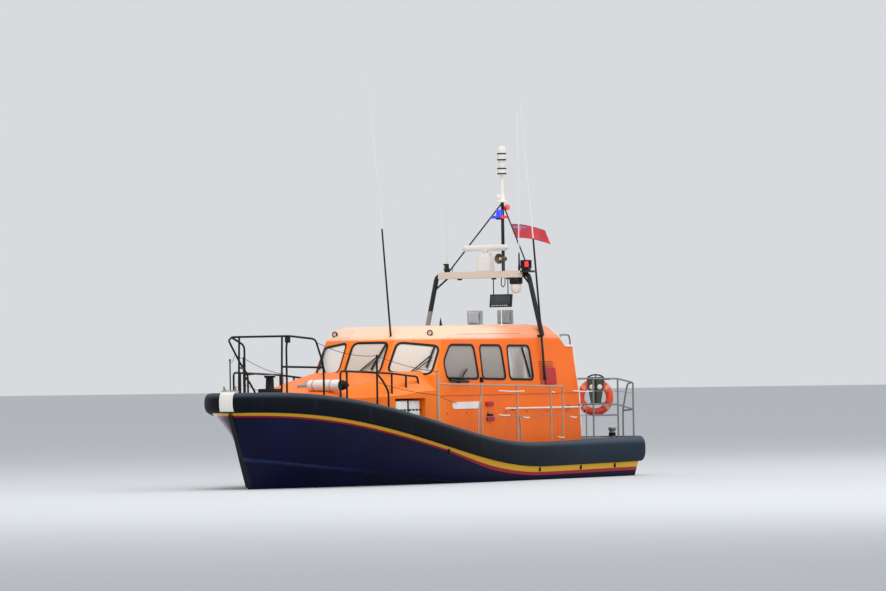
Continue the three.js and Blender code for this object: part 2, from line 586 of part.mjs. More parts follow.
// The port brace is short, because the camera hangs beside it
const legs = [[-1, 900, 4200], [1, 1070, 4250]].flatMap(([side, braceY, braceZ]) => [
  pipe(bent([[GANTRY.x, side * 900, GANTRY.lowZ + 70], [GANTRY.x, side * GANTRY.kneeY, GANTRY.lowZ + 70],
    [GANTRY.x, side * GANTRY.footY, 3150]]), GANTRY.legR, 8),
  rod([GANTRY.x, side * braceY, GANTRY.lowZ + 20], [GANTRY.x, side * 1260, braceZ], 22, 22, 6),
]);
const lampShelf = block(GANTRY.x - 110, GANTRY.x + 190, GANTRY.halfY - 60, 1290,
  GANTRY.topZ - 45, GANTRY.topZ);
const RADAR = { x: -3690, boxTop: 5015, barZ: 5065, halfY: 560 };
const radarBox = (halfX, halfY, z0, z1) => prism(eased([
  [RADAR.x - halfX, -halfY], [RADAR.x + halfX, -halfY],
  [RADAR.x + halfX, halfY], [RADAR.x - halfX, halfY],
], 50), 'z', z0, z1);
const whip = (foot, change, tip, sleeveR, whipR) => join(
  rod(foot, change, sleeveR, sleeveR * 0.8, 8), rod(change, tip, whipR, whipR * 0.5, 6));
part('gantry', onHouse(join(beam, shelf, lampShelf, ...legs,
  radarBox(130, 170, GANTRY.topZ - 60, RADAR.boxTop - 90),
  radarBox(100, 130, RADAR.boxTop - 100, RADAR.boxTop),
  whip([-3640, -980, GANTRY.topZ - 20], [-3640, -980, 4780], [-3640, -990, 6330], 16, 9))), 'cream');

const MAST = { x: -4440, foot: SHELF.z + SHELF.thick + GAP, r: 38, coneZ: 6150, topZ: 7400 };
const mastPole = rod([MAST.x, 0, MAST.foot], [MAST.x, 0, MAST.coneZ], MAST.r);
const mastCone = rod([MAST.x, 0, MAST.coneZ - 20], [MAST.x, 0, MAST.coneZ + 180], 125, 50);
const mastTop = rod([MAST.x, 0, MAST.coneZ + 150], [MAST.x, 0, 6760], 36);
const STAY = { footX: GANTRY.x - 75, portY: 1165, starboardY: -935, topZ: 6140 };
const stay = (y, r = 17) => rod([STAY.footX, y, GANTRY.topZ + GAP], [MAST.x, 0, STAY.topZ], r, r, 6);
part('mast', cut(join(mastPole, mastCone, mastTop, stay(STAY.starboardY), stay(STAY.portY),
  rod([MAST.x, 0, MAST.foot], [MAST.x, 0, MAST.foot + 40], 90)),
  block(-3800, -3200, -1300, 1300, 4300, GANTRY.topZ + GAP)), 'black');
part('masthead_lights', join(
  rod([MAST.x, 0, 6760 + GAP], [MAST.x, 0, 6920], 100),
  rod([MAST.x, 0, 6900], [MAST.x, 0, 7080], 75),
  rod([MAST.x, 0, 7060], [MAST.x, 0, 7250], 100),
  rod([MAST.x, 0, 7240], [MAST.x, 0, MAST.topZ], 100, 70)), 'white');
const BEACON = { x: -4300, z: 5760, r: 75, high: 230 };
part('blue_beacon', join(
  rod([BEACON.x, 0, BEACON.z], [BEACON.x, 0, BEACON.z + BEACON.high], BEACON.r),
  cut(block(MAST.x, BEACON.x, -20, 20, BEACON.z, BEACON.z + 20),
    rod([MAST.x, 0, 5000], [MAST.x, 0, 6100], MAST.r + GAP))), 'blue');

// The radar turns about its own upright
part('radar_scanner', join(
  rod([RADAR.x, 0, RADAR.boxTop + GAP], [RADAR.x, 0, RADAR.barZ + 30], 55),
  prism(eased([[RADAR.barZ, RADAR.x - 55], [RADAR.barZ + 115, RADAR.x - 55],
    [RADAR.barZ + 115, RADAR.x + 55], [RADAR.barZ, RADAR.x + 55]], 25),
  'y', -RADAR.halfY, RADAR.halfY)), 'white');

// What stands on and hangs under the beam
const HORN = { x: -3400, y: 572, z: 4870, r: 115 };
part('loudhailer', join(
  rod([HORN.x - 190, HORN.y, HORN.z], [HORN.x + 60, HORN.y, HORN.z], 45, HORN.r),
  rod([HORN.x + 60, HORN.y, HORN.z], [HORN.x + 80, HORN.y, HORN.z], HORN.r),
  rod([HORN.x - 120, HORN.y, GANTRY.topZ + GAP], [HORN.x - 120, HORN.y, HORN.z], 22, 22, 8)), 'cream');
part('port_side_light', block(-3540, -3360, 1098, 1288, GANTRY.topZ + GAP, 4830), 'red');
part('starboard_side_light', block(-3550, -3440, -960, -870, GANTRY.topZ + GAP, 4790), 'green');
const LAMP = { x: GANTRY.x, y: 868, capTop: GANTRY.lowZ - GAP };
part('dome_camera', join(
  rod([LAMP.x, LAMP.y, LAMP.capTop - 150], [LAMP.x, LAMP.y, LAMP.capTop], 140),
  rod([LAMP.x, LAMP.y, LAMP.capTop - 330], [LAMP.x, LAMP.y, LAMP.capTop - 140], 110)), 'white');
const SCREEN = { x: GANTRY.x + 100, inY: 262, outY: 802, lowZ: 3800, topZ: 4085 };
part('helm_display', join(
  prism([[SCREEN.lowZ, SCREEN.x + 60], [SCREEN.topZ, SCREEN.x + 20], [SCREEN.topZ, SCREEN.x - 60],
    [SCREEN.lowZ, SCREEN.x - 20]], 'y', SCREEN.inY, SCREEN.outY),
  ...[SCREEN.inY + 80, SCREEN.outY - 85].map((y) => rod([SCREEN.x, y, SCREEN.topZ - 20],
    [SCREEN.x, y, GANTRY.lowZ - GAP], 13, 13, 6))), 'black');

// Whip aerials: a black sleeve below, a thin white whip above
part('fore_whip', onHouse(whip([960, 560, 3080], [1180, 430, 5500], [1470, 250, 8740], 21, 15)), 'black');
const PORT_WHIP = { footZ: 2180, y: 1640 + 30 };
part('port_whip', onHouse(join(
  whip([-3400, PORT_WHIP.y, PORT_WHIP.footZ], [-3380, 1430, 5300], [-3340, 1180, 8300], 24, 15),
  block(-3440, -3360, 1500, PORT_WHIP.y + 10, 2180, 2260),
  block(-3430, -3370, 1450, 1620, 3120, 3180))), 'black');
part('mast_whip', whip([-3640, 900, GANTRY.topZ + GAP], [-3640, 900, 5000], [-3640, 910, 8110],
  20, 12), 'white');

// The flag flies from the port stay, aft and to port
const FLAG = { topZ: 5650, hoist: 430, fly: 800, droop: 210, wave: 38, stations: 7, thick: 6 };
const stayFoot = new THREE.Vector3(STAY.footX, STAY.portY, GANTRY.topZ + GAP);
const stayRun = new THREE.Vector3(MAST.x, 0, STAY.topZ).sub(stayFoot);
const stayUp = stayRun.clone().normalize();
const flyWay = new THREE.Vector3(-0.7, 0.7, 0).addScaledVector(stayUp, 0.105).normalize();
const flagFace = new THREE.Vector3(0.7, 0.7, 0).normalize();
const hoistTop = stayFoot.clone().addScaledVector(stayRun, (FLAG.topZ - GANTRY.topZ) / stayRun.z)
  .addScaledVector(flyWay, 6);
part('flag', cut(loft(Array.from({ length: FLAG.stations }, (_, i) => {
  const t = i / (FLAG.stations - 1);
  const top = hoistTop.clone().addScaledVector(flyWay, FLAG.fly * t)
    .addScaledVector(flagFace, FLAG.wave * Math.sin(t * 5.5));
  top.z -= FLAG.droop * t ** 1.6;
  const foot = top.clone().addScaledVector(stayUp, -FLAG.hoist);
  return [[top, 1], [top, -1], [foot, -1], [foot, 1]].map(([point, side]) => point.clone()
    .addScaledVector(flagFace, side * FLAG.thick / 2).toArray());
})), stay(STAY.portY, 17 + 1.2 * GAP)), 'red');

// Rails

const pipes = (radius, ...paths) => join(
  ...paths.map((path) => pipe(bent(path), radius, radius > 20 ? 8 : 6)));

// Pulpit: a bar across the bow and a rail down each side
const pulpitSide = (side) => [
  [[5370, 0, 3200], [5370, side * 730, 3200], [4950, side * 1095, 3130], [4600, side * 1040, 2640],
    [4440, side * 960, 2400], [4440, side * 960, 1700]],
  [[5375, side * 540, 3200], [5420, side * 540, 1800]],
  [[5398, side * 540, 2560], [4525, side * 1003, 2530]],
];
part('pulpit', onTrunk(pipes(PIPE_R, ...pulpitSide(1), ...pulpitSide(-1))), 'black');

// Grab rails beside the trunk
const grabRail = [
  [[4400, 1350, 1600], [4400, 1350, 2450], [3500, 1400, 2420], [2500, 1420, 2380], [1500, 1440, 2300],
    [1460, 1440, 2000]],
  [[4150, 1350, 2430], [4150, 1350, 1600]],
  [[3500, 1690, 1500], [3500, 1690, 2780]],
  [[3500, 1690, 2380], [3300, 1690, 2250], [3060, 1690, 2000], [3060, 1690, 1500]],
  [[3500, 1400, 2420], [3500, 1690, 2400]],
  [[2500, 1420, 2370], [2500, 1420, 1900]],
];
pair('grab_rail', onTrunk(pipes(PIPE_R, ...grabRail)), 'black');

// Stainless guard rails along the side decks and round the stern
const RAIL_Y = 1990;
const post = (x, top) => [[x, RAIL_Y, 700], [x, RAIL_Y, top]];
pair('guard_rail', onDeck(pipes(STAINLESS_R,
  [[1560, RAIL_Y, 1000], [1560, RAIL_Y, 2440]],
  [[1560, RAIL_Y, 2140], [-3600, RAIL_Y, 2030]],
  [[1560, RAIL_Y, 1640], [-200, RAIL_Y, 1480], [-3600, RAIL_Y, 1420]],
  post(-190, 2105), post(-1680, 2072), post(-3100, 2040), post(-3600, 2030))), 'steel');
const QUARTER = { foreX: -4925, bendX: -6000, endX: -6640, endY: 2010, innerY: 1740 };
pair('stern_rail', onHouse(onDeck(pipes(STAINLESS_R,
  [[-4820, 1500, 2190], [QUARTER.foreX, RAIL_Y, 2190], [QUARTER.bendX, RAIL_Y, 2175],
    [QUARTER.endX, QUARTER.endY, 2080], [QUARTER.endX, 1870, 2070], [QUARTER.endX, QUARTER.innerY, 1480],
    [QUARTER.endX, QUARTER.innerY, 700]],
  [[-4820, 1500, 1620], [QUARTER.foreX, RAIL_Y, 1620], [QUARTER.bendX, RAIL_Y, 1600],
    [QUARTER.endX, QUARTER.endY, 1480], [QUARTER.endX, QUARTER.innerY, 1460]],
  [[QUARTER.foreX, RAIL_Y, 1370], [QUARTER.bendX, RAIL_Y, 1370]],
  [[QUARTER.endX, QUARTER.endY, 700], [QUARTER.endX, QUARTER.endY, 2080]],
  post(QUARTER.foreX, 2190), post(QUARTER.bendX, 2175)))), 'steel');

// Grab rails on the roof's edge
const ROOF_RAIL = { y: 1450, z: 3270, foreX: 0, aftX: -2750 };
pair('roof_rail', onHouse(pipes(13,
  [[ROOF_RAIL.foreX + 120, ROOF_RAIL.y - 20, 3120], [ROOF_RAIL.foreX, ROOF_RAIL.y + 20, ROOF_RAIL.z],
    [ROOF_RAIL.aftX, ROOF_RAIL.y + 20, ROOF_RAIL.z]],
  ...[-1000, -1900, ROOF_RAIL.aftX].map((x) => (
    [[x, ROOF_RAIL.y - 20, 3100], [x, ROOF_RAIL.y + 20, ROOF_RAIL.z]])))), 'grey');

// Ladder up the aft bulkhead to the steering position
const LADDER = { inY: 930, outY: 1310 };
const stile = (y) => [
  [-4640, y, 2800], [-4640, y, 3170], [-5060, y, 3170], [-5240, y, 2200], [-5340, y, 700],
];
part('aft_ladder', onDeck(onHouse(pipes(16, stile(LADDER.inY), stile(LADDER.outY),
  ...[1150, 1450, 1750, 2050, 2350, 2650].map((z) => {
    const x = z > 2200 ? -5240 + (z - 2200) * 180 / 970 : -5340 + (z - 700) * 100 / 1500;
    return [[x, LADDER.inY, z], [x, LADDER.outY, z]];
  })))), 'steel');

// Lifebuoy inside the port quarter rail, turned to face forward and outward on its holder
const RAIL_FLAT = STAINLESS_R * Math.cos(Math.PI / 6);
const BUOY = { x: -5628, y: 1620, z: 1768, r: 327, tube: 84, bearing: 40 };
const HOLDER = { topZ: 2195, footZ: 1610, topHalf: 205, footHalf: 110, thick: 26 };
const turnedOut = (geometry) => geometry.rotateZ(THREE.MathUtils.degToRad(BUOY.bearing - 90))
  .translate(BUOY.x, BUOY.y, 0);
const buoyFace = BUOY.tube + GAP;
part('lifebuoy', turnedOut(new THREE.TorusGeometry(BUOY.r, BUOY.tube, 8, 20)
  .rotateX(Math.PI / 2).translate(0, 0, BUOY.z)), 'orange');
const railFace = RAIL_Y - RAIL_FLAT - GAP;
part('lifebuoy_holder', join(
  turnedOut(prism([[HOLDER.topZ, -HOLDER.topHalf], [HOLDER.topZ, HOLDER.topHalf],
    [HOLDER.footZ, HOLDER.footHalf], [HOLDER.footZ, -HOLDER.footHalf]],
  'y', buoyFace, buoyFace + HOLDER.thick)),
  block(-5700, -5660, 1790, railFace, 2150, 2190),
  block(-5640, -5600, 1720, railFace, 1612, 1650)), 'black');

// Deck gear
const bitt = (x, y, r, high) => {
  const z = deckZ(x, y);
  return onDeck(join(
    rod([x, y, z - 60], [x, y, z + high], r * 0.7),
    rod([x, y, z + high - 60], [x, y, z + high], r)));
};
part('towing_bollard', bitt(-6330, 0, 130, 420), 'steel');
pair('quarter_bitt', bitt(-6300, 1650, 80, 230), 'steel');
part('windlass', onDeck(join(
  block(4850, 5250, -170, 170, deckZ(5050) - 60, deckZ(5050) + 150),
  rod([5050, 0, deckZ(5050) + 100], [5050, 0, deckZ(5050) + 420], 95, 80),
  rod([5050, 0, deckZ(5050) + 380], [5050, 0, deckZ(5050) + 430], 120))), 'steel');

// A boat fender lashed on the foredeck
const BUFFER = { x: 4020, fromY: 300, toY: 1120, z: 2152, r: 120 };
part('deck_buffer', onTrunk(join(
  rod([BUFFER.x, BUFFER.fromY, BUFFER.z], [BUFFER.x, BUFFER.toY, BUFFER.z], BUFFER.r),
  rod([BUFFER.x, BUFFER.toY - 5, BUFFER.z], [BUFFER.x, BUFFER.toY + 170, BUFFER.z],
    BUFFER.r * 0.75, 35))), 'white');

// Waterjets in the stern recess
const JET = {
  y: 620, z: -440, foreX: RECESS.x - GAP, stepX: -6430, tipX: -6560, r: 190, noseR: 110, boreR: 90,
};
const NOZZLE = {
  pivotX: -6540, foreX: -6580, tipX: -6850, r: 160, tipR: 125, wall: 20, earZ: 118, earHalf: 25,
};
const BUCKET = { x: -6450, inY: 265, plate: 22, r: 490, lugR: 38 };
const alongJet = (x0, x1, r0, r1 = r0) => rod([x0, JET.y, JET.z], [x1, JET.y, JET.z], r0, r1, 16);
pair('jet', cut(join(
  alongJet(JET.foreX, JET.foreX - 50, 250),
  alongJet(JET.foreX - 40, JET.stepX, JET.r, JET.r - 20),
  alongJet(JET.stepX + 20, JET.tipX, JET.noseR),
  rod([NOZZLE.pivotX, JET.y, JET.z - NOZZLE.earZ + GAP],
    [NOZZLE.pivotX, JET.y, JET.z + NOZZLE.earZ - GAP], 15, 15, 8),
  rod([BUCKET.x, JET.y - BUCKET.inY + GAP, JET.z], [BUCKET.x, JET.y + BUCKET.inY - GAP, JET.z],
    BUCKET.lugR),
), alongJet(JET.tipX - 10, JET.foreX - 120, JET.boreR)), 'alloy');

// A steering nozzle swings on the pins above and below the jet's nose
const ear = (side) => block(NOZZLE.foreX - 20, NOZZLE.pivotX + 25,
  JET.y - NOZZLE.earHalf, JET.y + NOZZLE.earHalf,
  Math.min(side * NOZZLE.earZ, side * NOZZLE.r) + JET.z,
  Math.max(side * NOZZLE.earZ, side * NOZZLE.r) + JET.z);
pair('nozzle', join(
  cut(alongJet(NOZZLE.foreX, NOZZLE.tipX, NOZZLE.r, NOZZLE.tipR),
    alongJet(NOZZLE.foreX + 1, NOZZLE.tipX - 1, NOZZLE.r - NOZZLE.wall, NOZZLE.tipR - NOZZLE.wall)),
  ear(1), ear(-1)), 'alloy');

// A reversing bucket: a curved plate on two arms, stowed above the nozzle
const BUCKET_ANGLES = [22, 35, 48, 61, 74];
const bucketPoint = (degrees, r) => {
  const angle = THREE.MathUtils.degToRad(degrees);
  return [JET.z + r * Math.sin(angle), BUCKET.x - r * Math.cos(angle)];
};
const hood = prism([...BUCKET_ANGLES.map((a) => bucketPoint(a, BUCKET.r)),
  ...BUCKET_ANGLES.toReversed().map((a) => bucketPoint(a, BUCKET.r - BUCKET.plate))],
'y', JET.y - BUCKET.inY - BUCKET.plate, JET.y + BUCKET.inY + BUCKET.plate);
const arms = [-1, 1].map((side) => {
  const [from, to] = [side * BUCKET.inY, side * (BUCKET.inY + BUCKET.plate)].sort((a, b) => a - b);
  return prism([[JET.z - 45, BUCKET.x + 45], [JET.z + 60, BUCKET.x + 50], bucketPoint(74, BUCKET.r),
    bucketPoint(22, BUCKET.r), [JET.z - 45, BUCKET.x - 50]], 'y', JET.y + from, JET.y + to);
});
pair('bucket', join(hood, ...arms), 'alloy');

export default boat;
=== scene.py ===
# A 13.6 m self-righting waterjet lifeboat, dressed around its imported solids.
# Metres: X runs forward, Y to port, Z up, and the still water lies at Z = 0.
import math

import bmesh
import bpy
from mathutils import Matrix, Vector


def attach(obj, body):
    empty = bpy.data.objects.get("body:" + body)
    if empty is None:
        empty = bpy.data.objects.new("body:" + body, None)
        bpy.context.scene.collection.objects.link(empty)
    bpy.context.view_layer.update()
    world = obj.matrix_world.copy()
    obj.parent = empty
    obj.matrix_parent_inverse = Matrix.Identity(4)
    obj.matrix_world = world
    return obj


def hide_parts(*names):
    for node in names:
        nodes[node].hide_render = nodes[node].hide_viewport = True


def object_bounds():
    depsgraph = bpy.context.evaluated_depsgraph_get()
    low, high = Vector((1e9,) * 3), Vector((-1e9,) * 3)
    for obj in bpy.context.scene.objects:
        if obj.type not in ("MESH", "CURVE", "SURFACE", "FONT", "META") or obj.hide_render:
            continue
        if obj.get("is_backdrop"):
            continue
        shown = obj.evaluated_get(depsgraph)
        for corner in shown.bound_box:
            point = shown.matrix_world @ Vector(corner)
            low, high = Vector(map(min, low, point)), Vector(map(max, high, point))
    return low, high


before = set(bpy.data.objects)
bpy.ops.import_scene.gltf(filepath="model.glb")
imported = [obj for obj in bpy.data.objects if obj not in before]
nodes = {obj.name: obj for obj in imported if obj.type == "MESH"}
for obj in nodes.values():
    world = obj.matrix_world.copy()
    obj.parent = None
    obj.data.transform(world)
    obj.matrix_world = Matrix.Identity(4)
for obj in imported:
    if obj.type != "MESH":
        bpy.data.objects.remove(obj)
cad_box = [list(corner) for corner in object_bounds()]

# Camera
# A long lens far off the port bow and just over the water, held almost level
# and tipped a little to one side.
CAMERA_BEARING = math.radians(32.0)
CAMERA_RISE = math.radians(-0.6)
CAMERA_TIP = math.radians(0.9)
CAMERA_DISTANCE = 140.0
CAMERA_TARGET = Vector((-0.49, 0.87, 4.05))
FOCAL_LENGTH = 262.1
SENSOR_WIDTH = 36.0

backward = Vector((math.cos(CAMERA_BEARING) * math.cos(CAMERA_RISE),
                   math.sin(CAMERA_BEARING) * math.cos(CAMERA_RISE), math.sin(CAMERA_RISE)))
level = Vector((-math.sin(CAMERA_BEARING), math.cos(CAMERA_BEARING), 0))
upward = backward.cross(level)
across = level * math.cos(CAMERA_TIP) - upward * math.sin(CAMERA_TIP)
upward = upward * math.cos(CAMERA_TIP) + level * math.sin(CAMERA_TIP)
lens = bpy.data.cameras.new("camera")
lens.lens = FOCAL_LENGTH
lens.sensor_width = SENSOR_WIDTH
lens.clip_end = 2000
camera = bpy.data.objects.new("camera", lens)
turn = Matrix((across, upward, backward)).transposed().to_4x4()
camera.matrix_world = Matrix.Translation(CAMERA_TARGET + backward * CAMERA_DISTANCE) @ turn
bpy.context.scene.collection.objects.link(camera)
bpy.context.scene.camera = camera

# Hull
# A fine-bowed moulded hull with a long flare, one hard chine and a raked stem, in
# glossy navy enamel with a yellow and red band under the fender. The deck has a
# sanded grey non-slip coat, and the stern is cut away round the two waterjets.


class Value:
    """A shader output that takes part in sums; numbers may stand on either side."""

    def __init__(self, tree, link):
        self.tree = tree
        self.link = link

    def node(self, kind, settings=None, inputs=None, output=0):
        """A node of this kind: its settings are made first, then its sockets."""
        made = self.tree.nodes.new(kind)
        for key, value in (settings or {}).items():
            if key == "stops":
                while len(made.color_ramp.elements) < len(value):
                    made.color_ramp.elements.new(0.5)
                for stop, (place, colour) in zip(made.color_ramp.elements, value):
                    stop.position = place
                    stop.color = colour
            else:
                setattr(made, key, value)
        for key, value in (inputs or {}).items():
            if isinstance(value, Value):
                self.tree.links.new(value.link, made.inputs[key])
            else:
                made.inputs[key].default_value = value
        return Value(self.tree, made.outputs[output])

    def sums(self, operation, first, *rest):
        return self.node("ShaderNodeMath", {"operation": operation}, dict(enumerate((first, *rest))))

    def __add__(self, other):
        return self.sums("ADD", self, other)

    def __radd__(self, other):
        return self.sums("ADD", other, self)

    def __sub__(self, other):
        return self.sums("SUBTRACT", self, other)

    def __rsub__(self, other):
        return self.sums("SUBTRACT", other, self)

    def __mul__(self, other):
        return self.sums("MULTIPLY", self, other)

    def __rmul__(self, other):
        return self.sums("MULTIPLY", other, self)

    def __truediv__(self, other):
        return self.sums("DIVIDE", self, other)

    def __gt__(self, other):
        return self.sums("GREATER_THAN", self, other)

    def __lt__(self, other):
        return self.sums("LESS_THAN", self, other)

    def __pow__(self, other):
        return self.sums("POWER", self, other)

    def __abs__(self):
        return self.sums("ABSOLUTE", self)

    def clamped(self):
        return self.node("ShaderNodeClamp", None, {0: self})

    def eased(self):
        """Held to 0 and 1, and softened at both ends as eased() does to a number."""
        share = self.clamped()
        return share * share * (3 - 2 * share)

    def between(self, low, high):
        """Rises smoothly from 0 at low to 1 at high."""
        return self.node("ShaderNodeMapRange", {"interpolation_type": "SMOOTHSTEP"},
                         {"Value": self, "From Min": low, "From Max": high})


class Finish:
    """A procedural paint, metal or cloth, with the tools to vary it over a surface."""

    def __init__(self, name):
        self.material = bpy.data.materials.new(name)
        self.material.use_nodes = True
        self.tree = self.material.node_tree
        self.shader = self.tree.nodes["Principled BSDF"]
        blank = Value(self.tree, None)
        self.node = blank.node
        self.place = self.node("ShaderNodeTexCoord", output=3)
        self.x = self.node("ShaderNodeSeparateXYZ", None, {0: self.place}, 0)
        self.y = self.node("ShaderNodeSeparateXYZ", None, {0: self.place}, 1)
        self.z = self.node("ShaderNodeSeparateXYZ", None, {0: self.place}, 2)

    def noise(self, scale, detail=3.0, stretch=(1, 1, 1), rough=0.55):
        """Soft cloudy noise from 0 to 1; scale is in cycles a metre."""
        spot = self.node("ShaderNodeMapping", None, {"Vector": self.place, "Scale": stretch})
        return self.node("ShaderNodeTexNoise", None,
                         {"Vector": spot, "Scale": scale, "Detail": detail, "Roughness": rough})

    def mix(self, share, first, second):
        """The first colour where share is 0, the second where it is 1."""
        return self.node("ShaderNodeMix", {"data_type": "RGBA"}, {0: share, 6: first, 7: second}, 2)

    def bump(self, height, depth, strength=1.0):
        """A normal from a height of 0 to 1 over so many metres."""
        return self.node("ShaderNodeBump", None,
                         {"Strength": strength, "Distance": depth, "Height": height})

    def done(self, **sockets):
        """Sets the shader's sockets, named as in Blender with _ for a space."""
        for key, value in sockets.items():
            socket = self.shader.inputs[key.replace("_", " ")]
            if isinstance(value, Value):
                self.tree.links.new(value.link, socket)
            else:
                socket.default_value = value
        return self.material


def ink(code):
    """A colour from its six-figure screen code, as the shader wants it."""
    parts = [int(code[i:i + 2], 16) / 255 for i in (0, 2, 4)]
    return (*[p / 12.92 if p <= 0.04045 else ((p + 0.055) / 1.055) ** 2.4 for p in parts], 1.0)


def enamel(name, colour, shade, rough=0.24, salt=0.35):
    """Brushed or sprayed gloss paint: faint mottling, dried salt and soft scuffs."""
    paint = Finish(name)
    cloud = paint.noise(1.3, 4.0)
    streak = paint.noise(5.0, 5.0, (1.0, 1.0, 0.18))
    speck = paint.noise(60.0, 2.0)
    base = paint.mix(cloud.between(0.35, 0.75) * 0.5, ink(colour), ink(shade))
    dulled = streak.between(0.5, 0.85) * salt
    base = paint.mix(dulled * 0.16, base, ink("c9c6bf"))
    return paint.done(
        Base_Color=base, Roughness=rough + dulled * 0.35 + speck * 0.05, Coat_Weight=0.25,
        Coat_Roughness=0.12, Normal=paint.bump(streak * 0.6 + speck * 0.4, 0.0008, 0.35))


def solid(name, mesh, finish, body="boat", stands_for="", crisp=32, broad=False):
    """Makes a finished piece of a bmesh: smooth, but crisp at edges over the angle.
    A broad one is shaded by its large faces, so its rounded edges read crisply."""
    for edge in mesh.edges:
        edge.smooth = len(edge.link_faces) == 2 and edge.calc_face_angle(0) < math.radians(crisp)
    for face in mesh.faces:
        face.smooth = True
    data = bpy.data.meshes.new(name)
    mesh.to_mesh(data)
    mesh.free()
    for material in finish if isinstance(finish, (list, tuple)) else [finish]:
        data.materials.append(material)
    piece = bpy.data.objects.new(name, data)
    bpy.context.scene.collection.objects.link(piece)
    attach(piece, body)
    if stands_for:
        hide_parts(*stands_for.split())
    if broad:
        piece.modifiers.new("broad faces", "WEIGHTED_NORMAL").keep_sharp = True
    return piece


def skinned(rings, loop=True, capped=True):
    """Bridges a row of rings of points into one skin."""
    mesh = bmesh.new()
    rows = []
    for ring in rings:
        points = [mesh.verts.new(point) for point in ring]
        ends = points[1:] + points[:1] if loop else points[1:]
        rows.append([mesh.edges.new(pair) for pair in zip(points, ends)])
    for first, second in zip(rows, rows[1:]):
        bmesh.ops.bridge_loops(mesh, edges=first + second)
    if loop and capped:
        bmesh.ops.edgeloop_fill(mesh, edges=rows[0])
        bmesh.ops.edgeloop_fill(mesh, edges=rows[-1])
    bmesh.ops.recalc_face_normals(mesh, faces=mesh.faces)
    return mesh


def boxed(low, high, edge=0.0, segments=2):
    """A block between two corners with its edges rounded."""
    mesh = bmesh.new()
    bmesh.ops.create_cube(mesh, size=1)
    low, high = Vector(low), Vector(high)
    bmesh.ops.scale(mesh, vec=high - low, verts=mesh.verts)
    bmesh.ops.translate(mesh, vec=(low + high) / 2, verts=mesh.verts)
    if edge:
        bmesh.ops.bevel(mesh, geom=mesh.edges, offset=edge, segments=segments, profile=0.5,
                        affect="EDGES", material=-1)
    return mesh


def gathered(*meshes):
    """Several bmeshes as one."""
    whole = bmesh.new()
    for mesh in meshes:
        data = bpy.data.meshes.new("part")
        mesh.to_mesh(data)
        mesh.free()
        whole.from_mesh(data)
        bpy.data.meshes.remove(data)
    return whole


def carved(mesh, *cutters):
    """The mesh less each cutter, by Blender's exact boolean."""
    def shown(source, name):
        data = bpy.data.meshes.new(name)
        source.to_mesh(data)
        source.free()
        made = bpy.data.objects.new(name, data)
        bpy.context.scene.collection.objects.link(made)
        return made
    body = shown(mesh, "uncut")
    tools = [shown(cutter, "cutter") for cutter in cutters]
    for tool in tools:
        step = body.modifiers.new("cut", "BOOLEAN")
        step.operation = "DIFFERENCE"
        step.solver = "EXACT"
        step.object = tool
    bpy.context.view_layer.update()
    result = bmesh.new()
    result.from_object(body, bpy.context.evaluated_depsgraph_get())
    for extra in [body, *tools]:
        data = extra.data
        bpy.data.objects.remove(extra)
        bpy.data.meshes.remove(data)
    return result


def clamped(value):
    return min(max(value, 0.0), 1.0)


def eased(value):
    return clamped(value) ** 2 * (3 - 2 * clamped(value))


BOW_REACH = 6.73
HALF_BEAM = 2.27
TRANSOM = -6.7
FENDER_DEPTH = 0.17
STEM_HALF = 0.05
DECK_DROP = 0.045
DECK_CAMBER = 0.045
# height aft, rise to the bow, where the rise starts, its run, and the lift at the stern
FENDER_TOP = (0.83, 1.2, -2.2, 8.6, 0.06)
FENDER_FOOT = (0.29, 1.32, -2.6, 9.2, 0.03)
# height aft, rise, start and run, and the power of its curve
CHINE = (-0.28, 0.9, -4, 10.16, 1.3)
CHINE_END, KEEL_END = 6.16, 5.92
STERN_RISE_FROM, STERN_RISE_RUN = -3.0, 3.8


def aft_rise(x):
    return clamped((STERN_RISE_FROM - x) / STERN_RISE_RUN)


def fender_line(x, line):
    low, rise, start, run, lift = line
    return low + rise * eased((x - start) / run) + lift * aft_rise(x)


def fender_top(x):
    return fender_line(x, FENDER_TOP)


def fender_foot(x):
    return fender_line(x, FENDER_FOOT)


def deck_height(x, y=0.0):
    return fender_top(x) - DECK_DROP + DECK_CAMBER * (1 - clamped(abs(y) / 2.1))


def bow_station(degrees):
    """A point of the outer line round the bow, with its outward direction."""
    angle = math.radians(degrees)
    out = Vector((math.cos(angle) / BOW_REACH, math.sin(angle) / HALF_BEAM)).normalized()
    return BOW_REACH * math.cos(angle), HALF_BEAM * math.sin(angle), out.x, out.y


def side_station(x):
    return x, HALF_BEAM - 0.02 * clamped(-x / 6.7), 0.0, 1.0


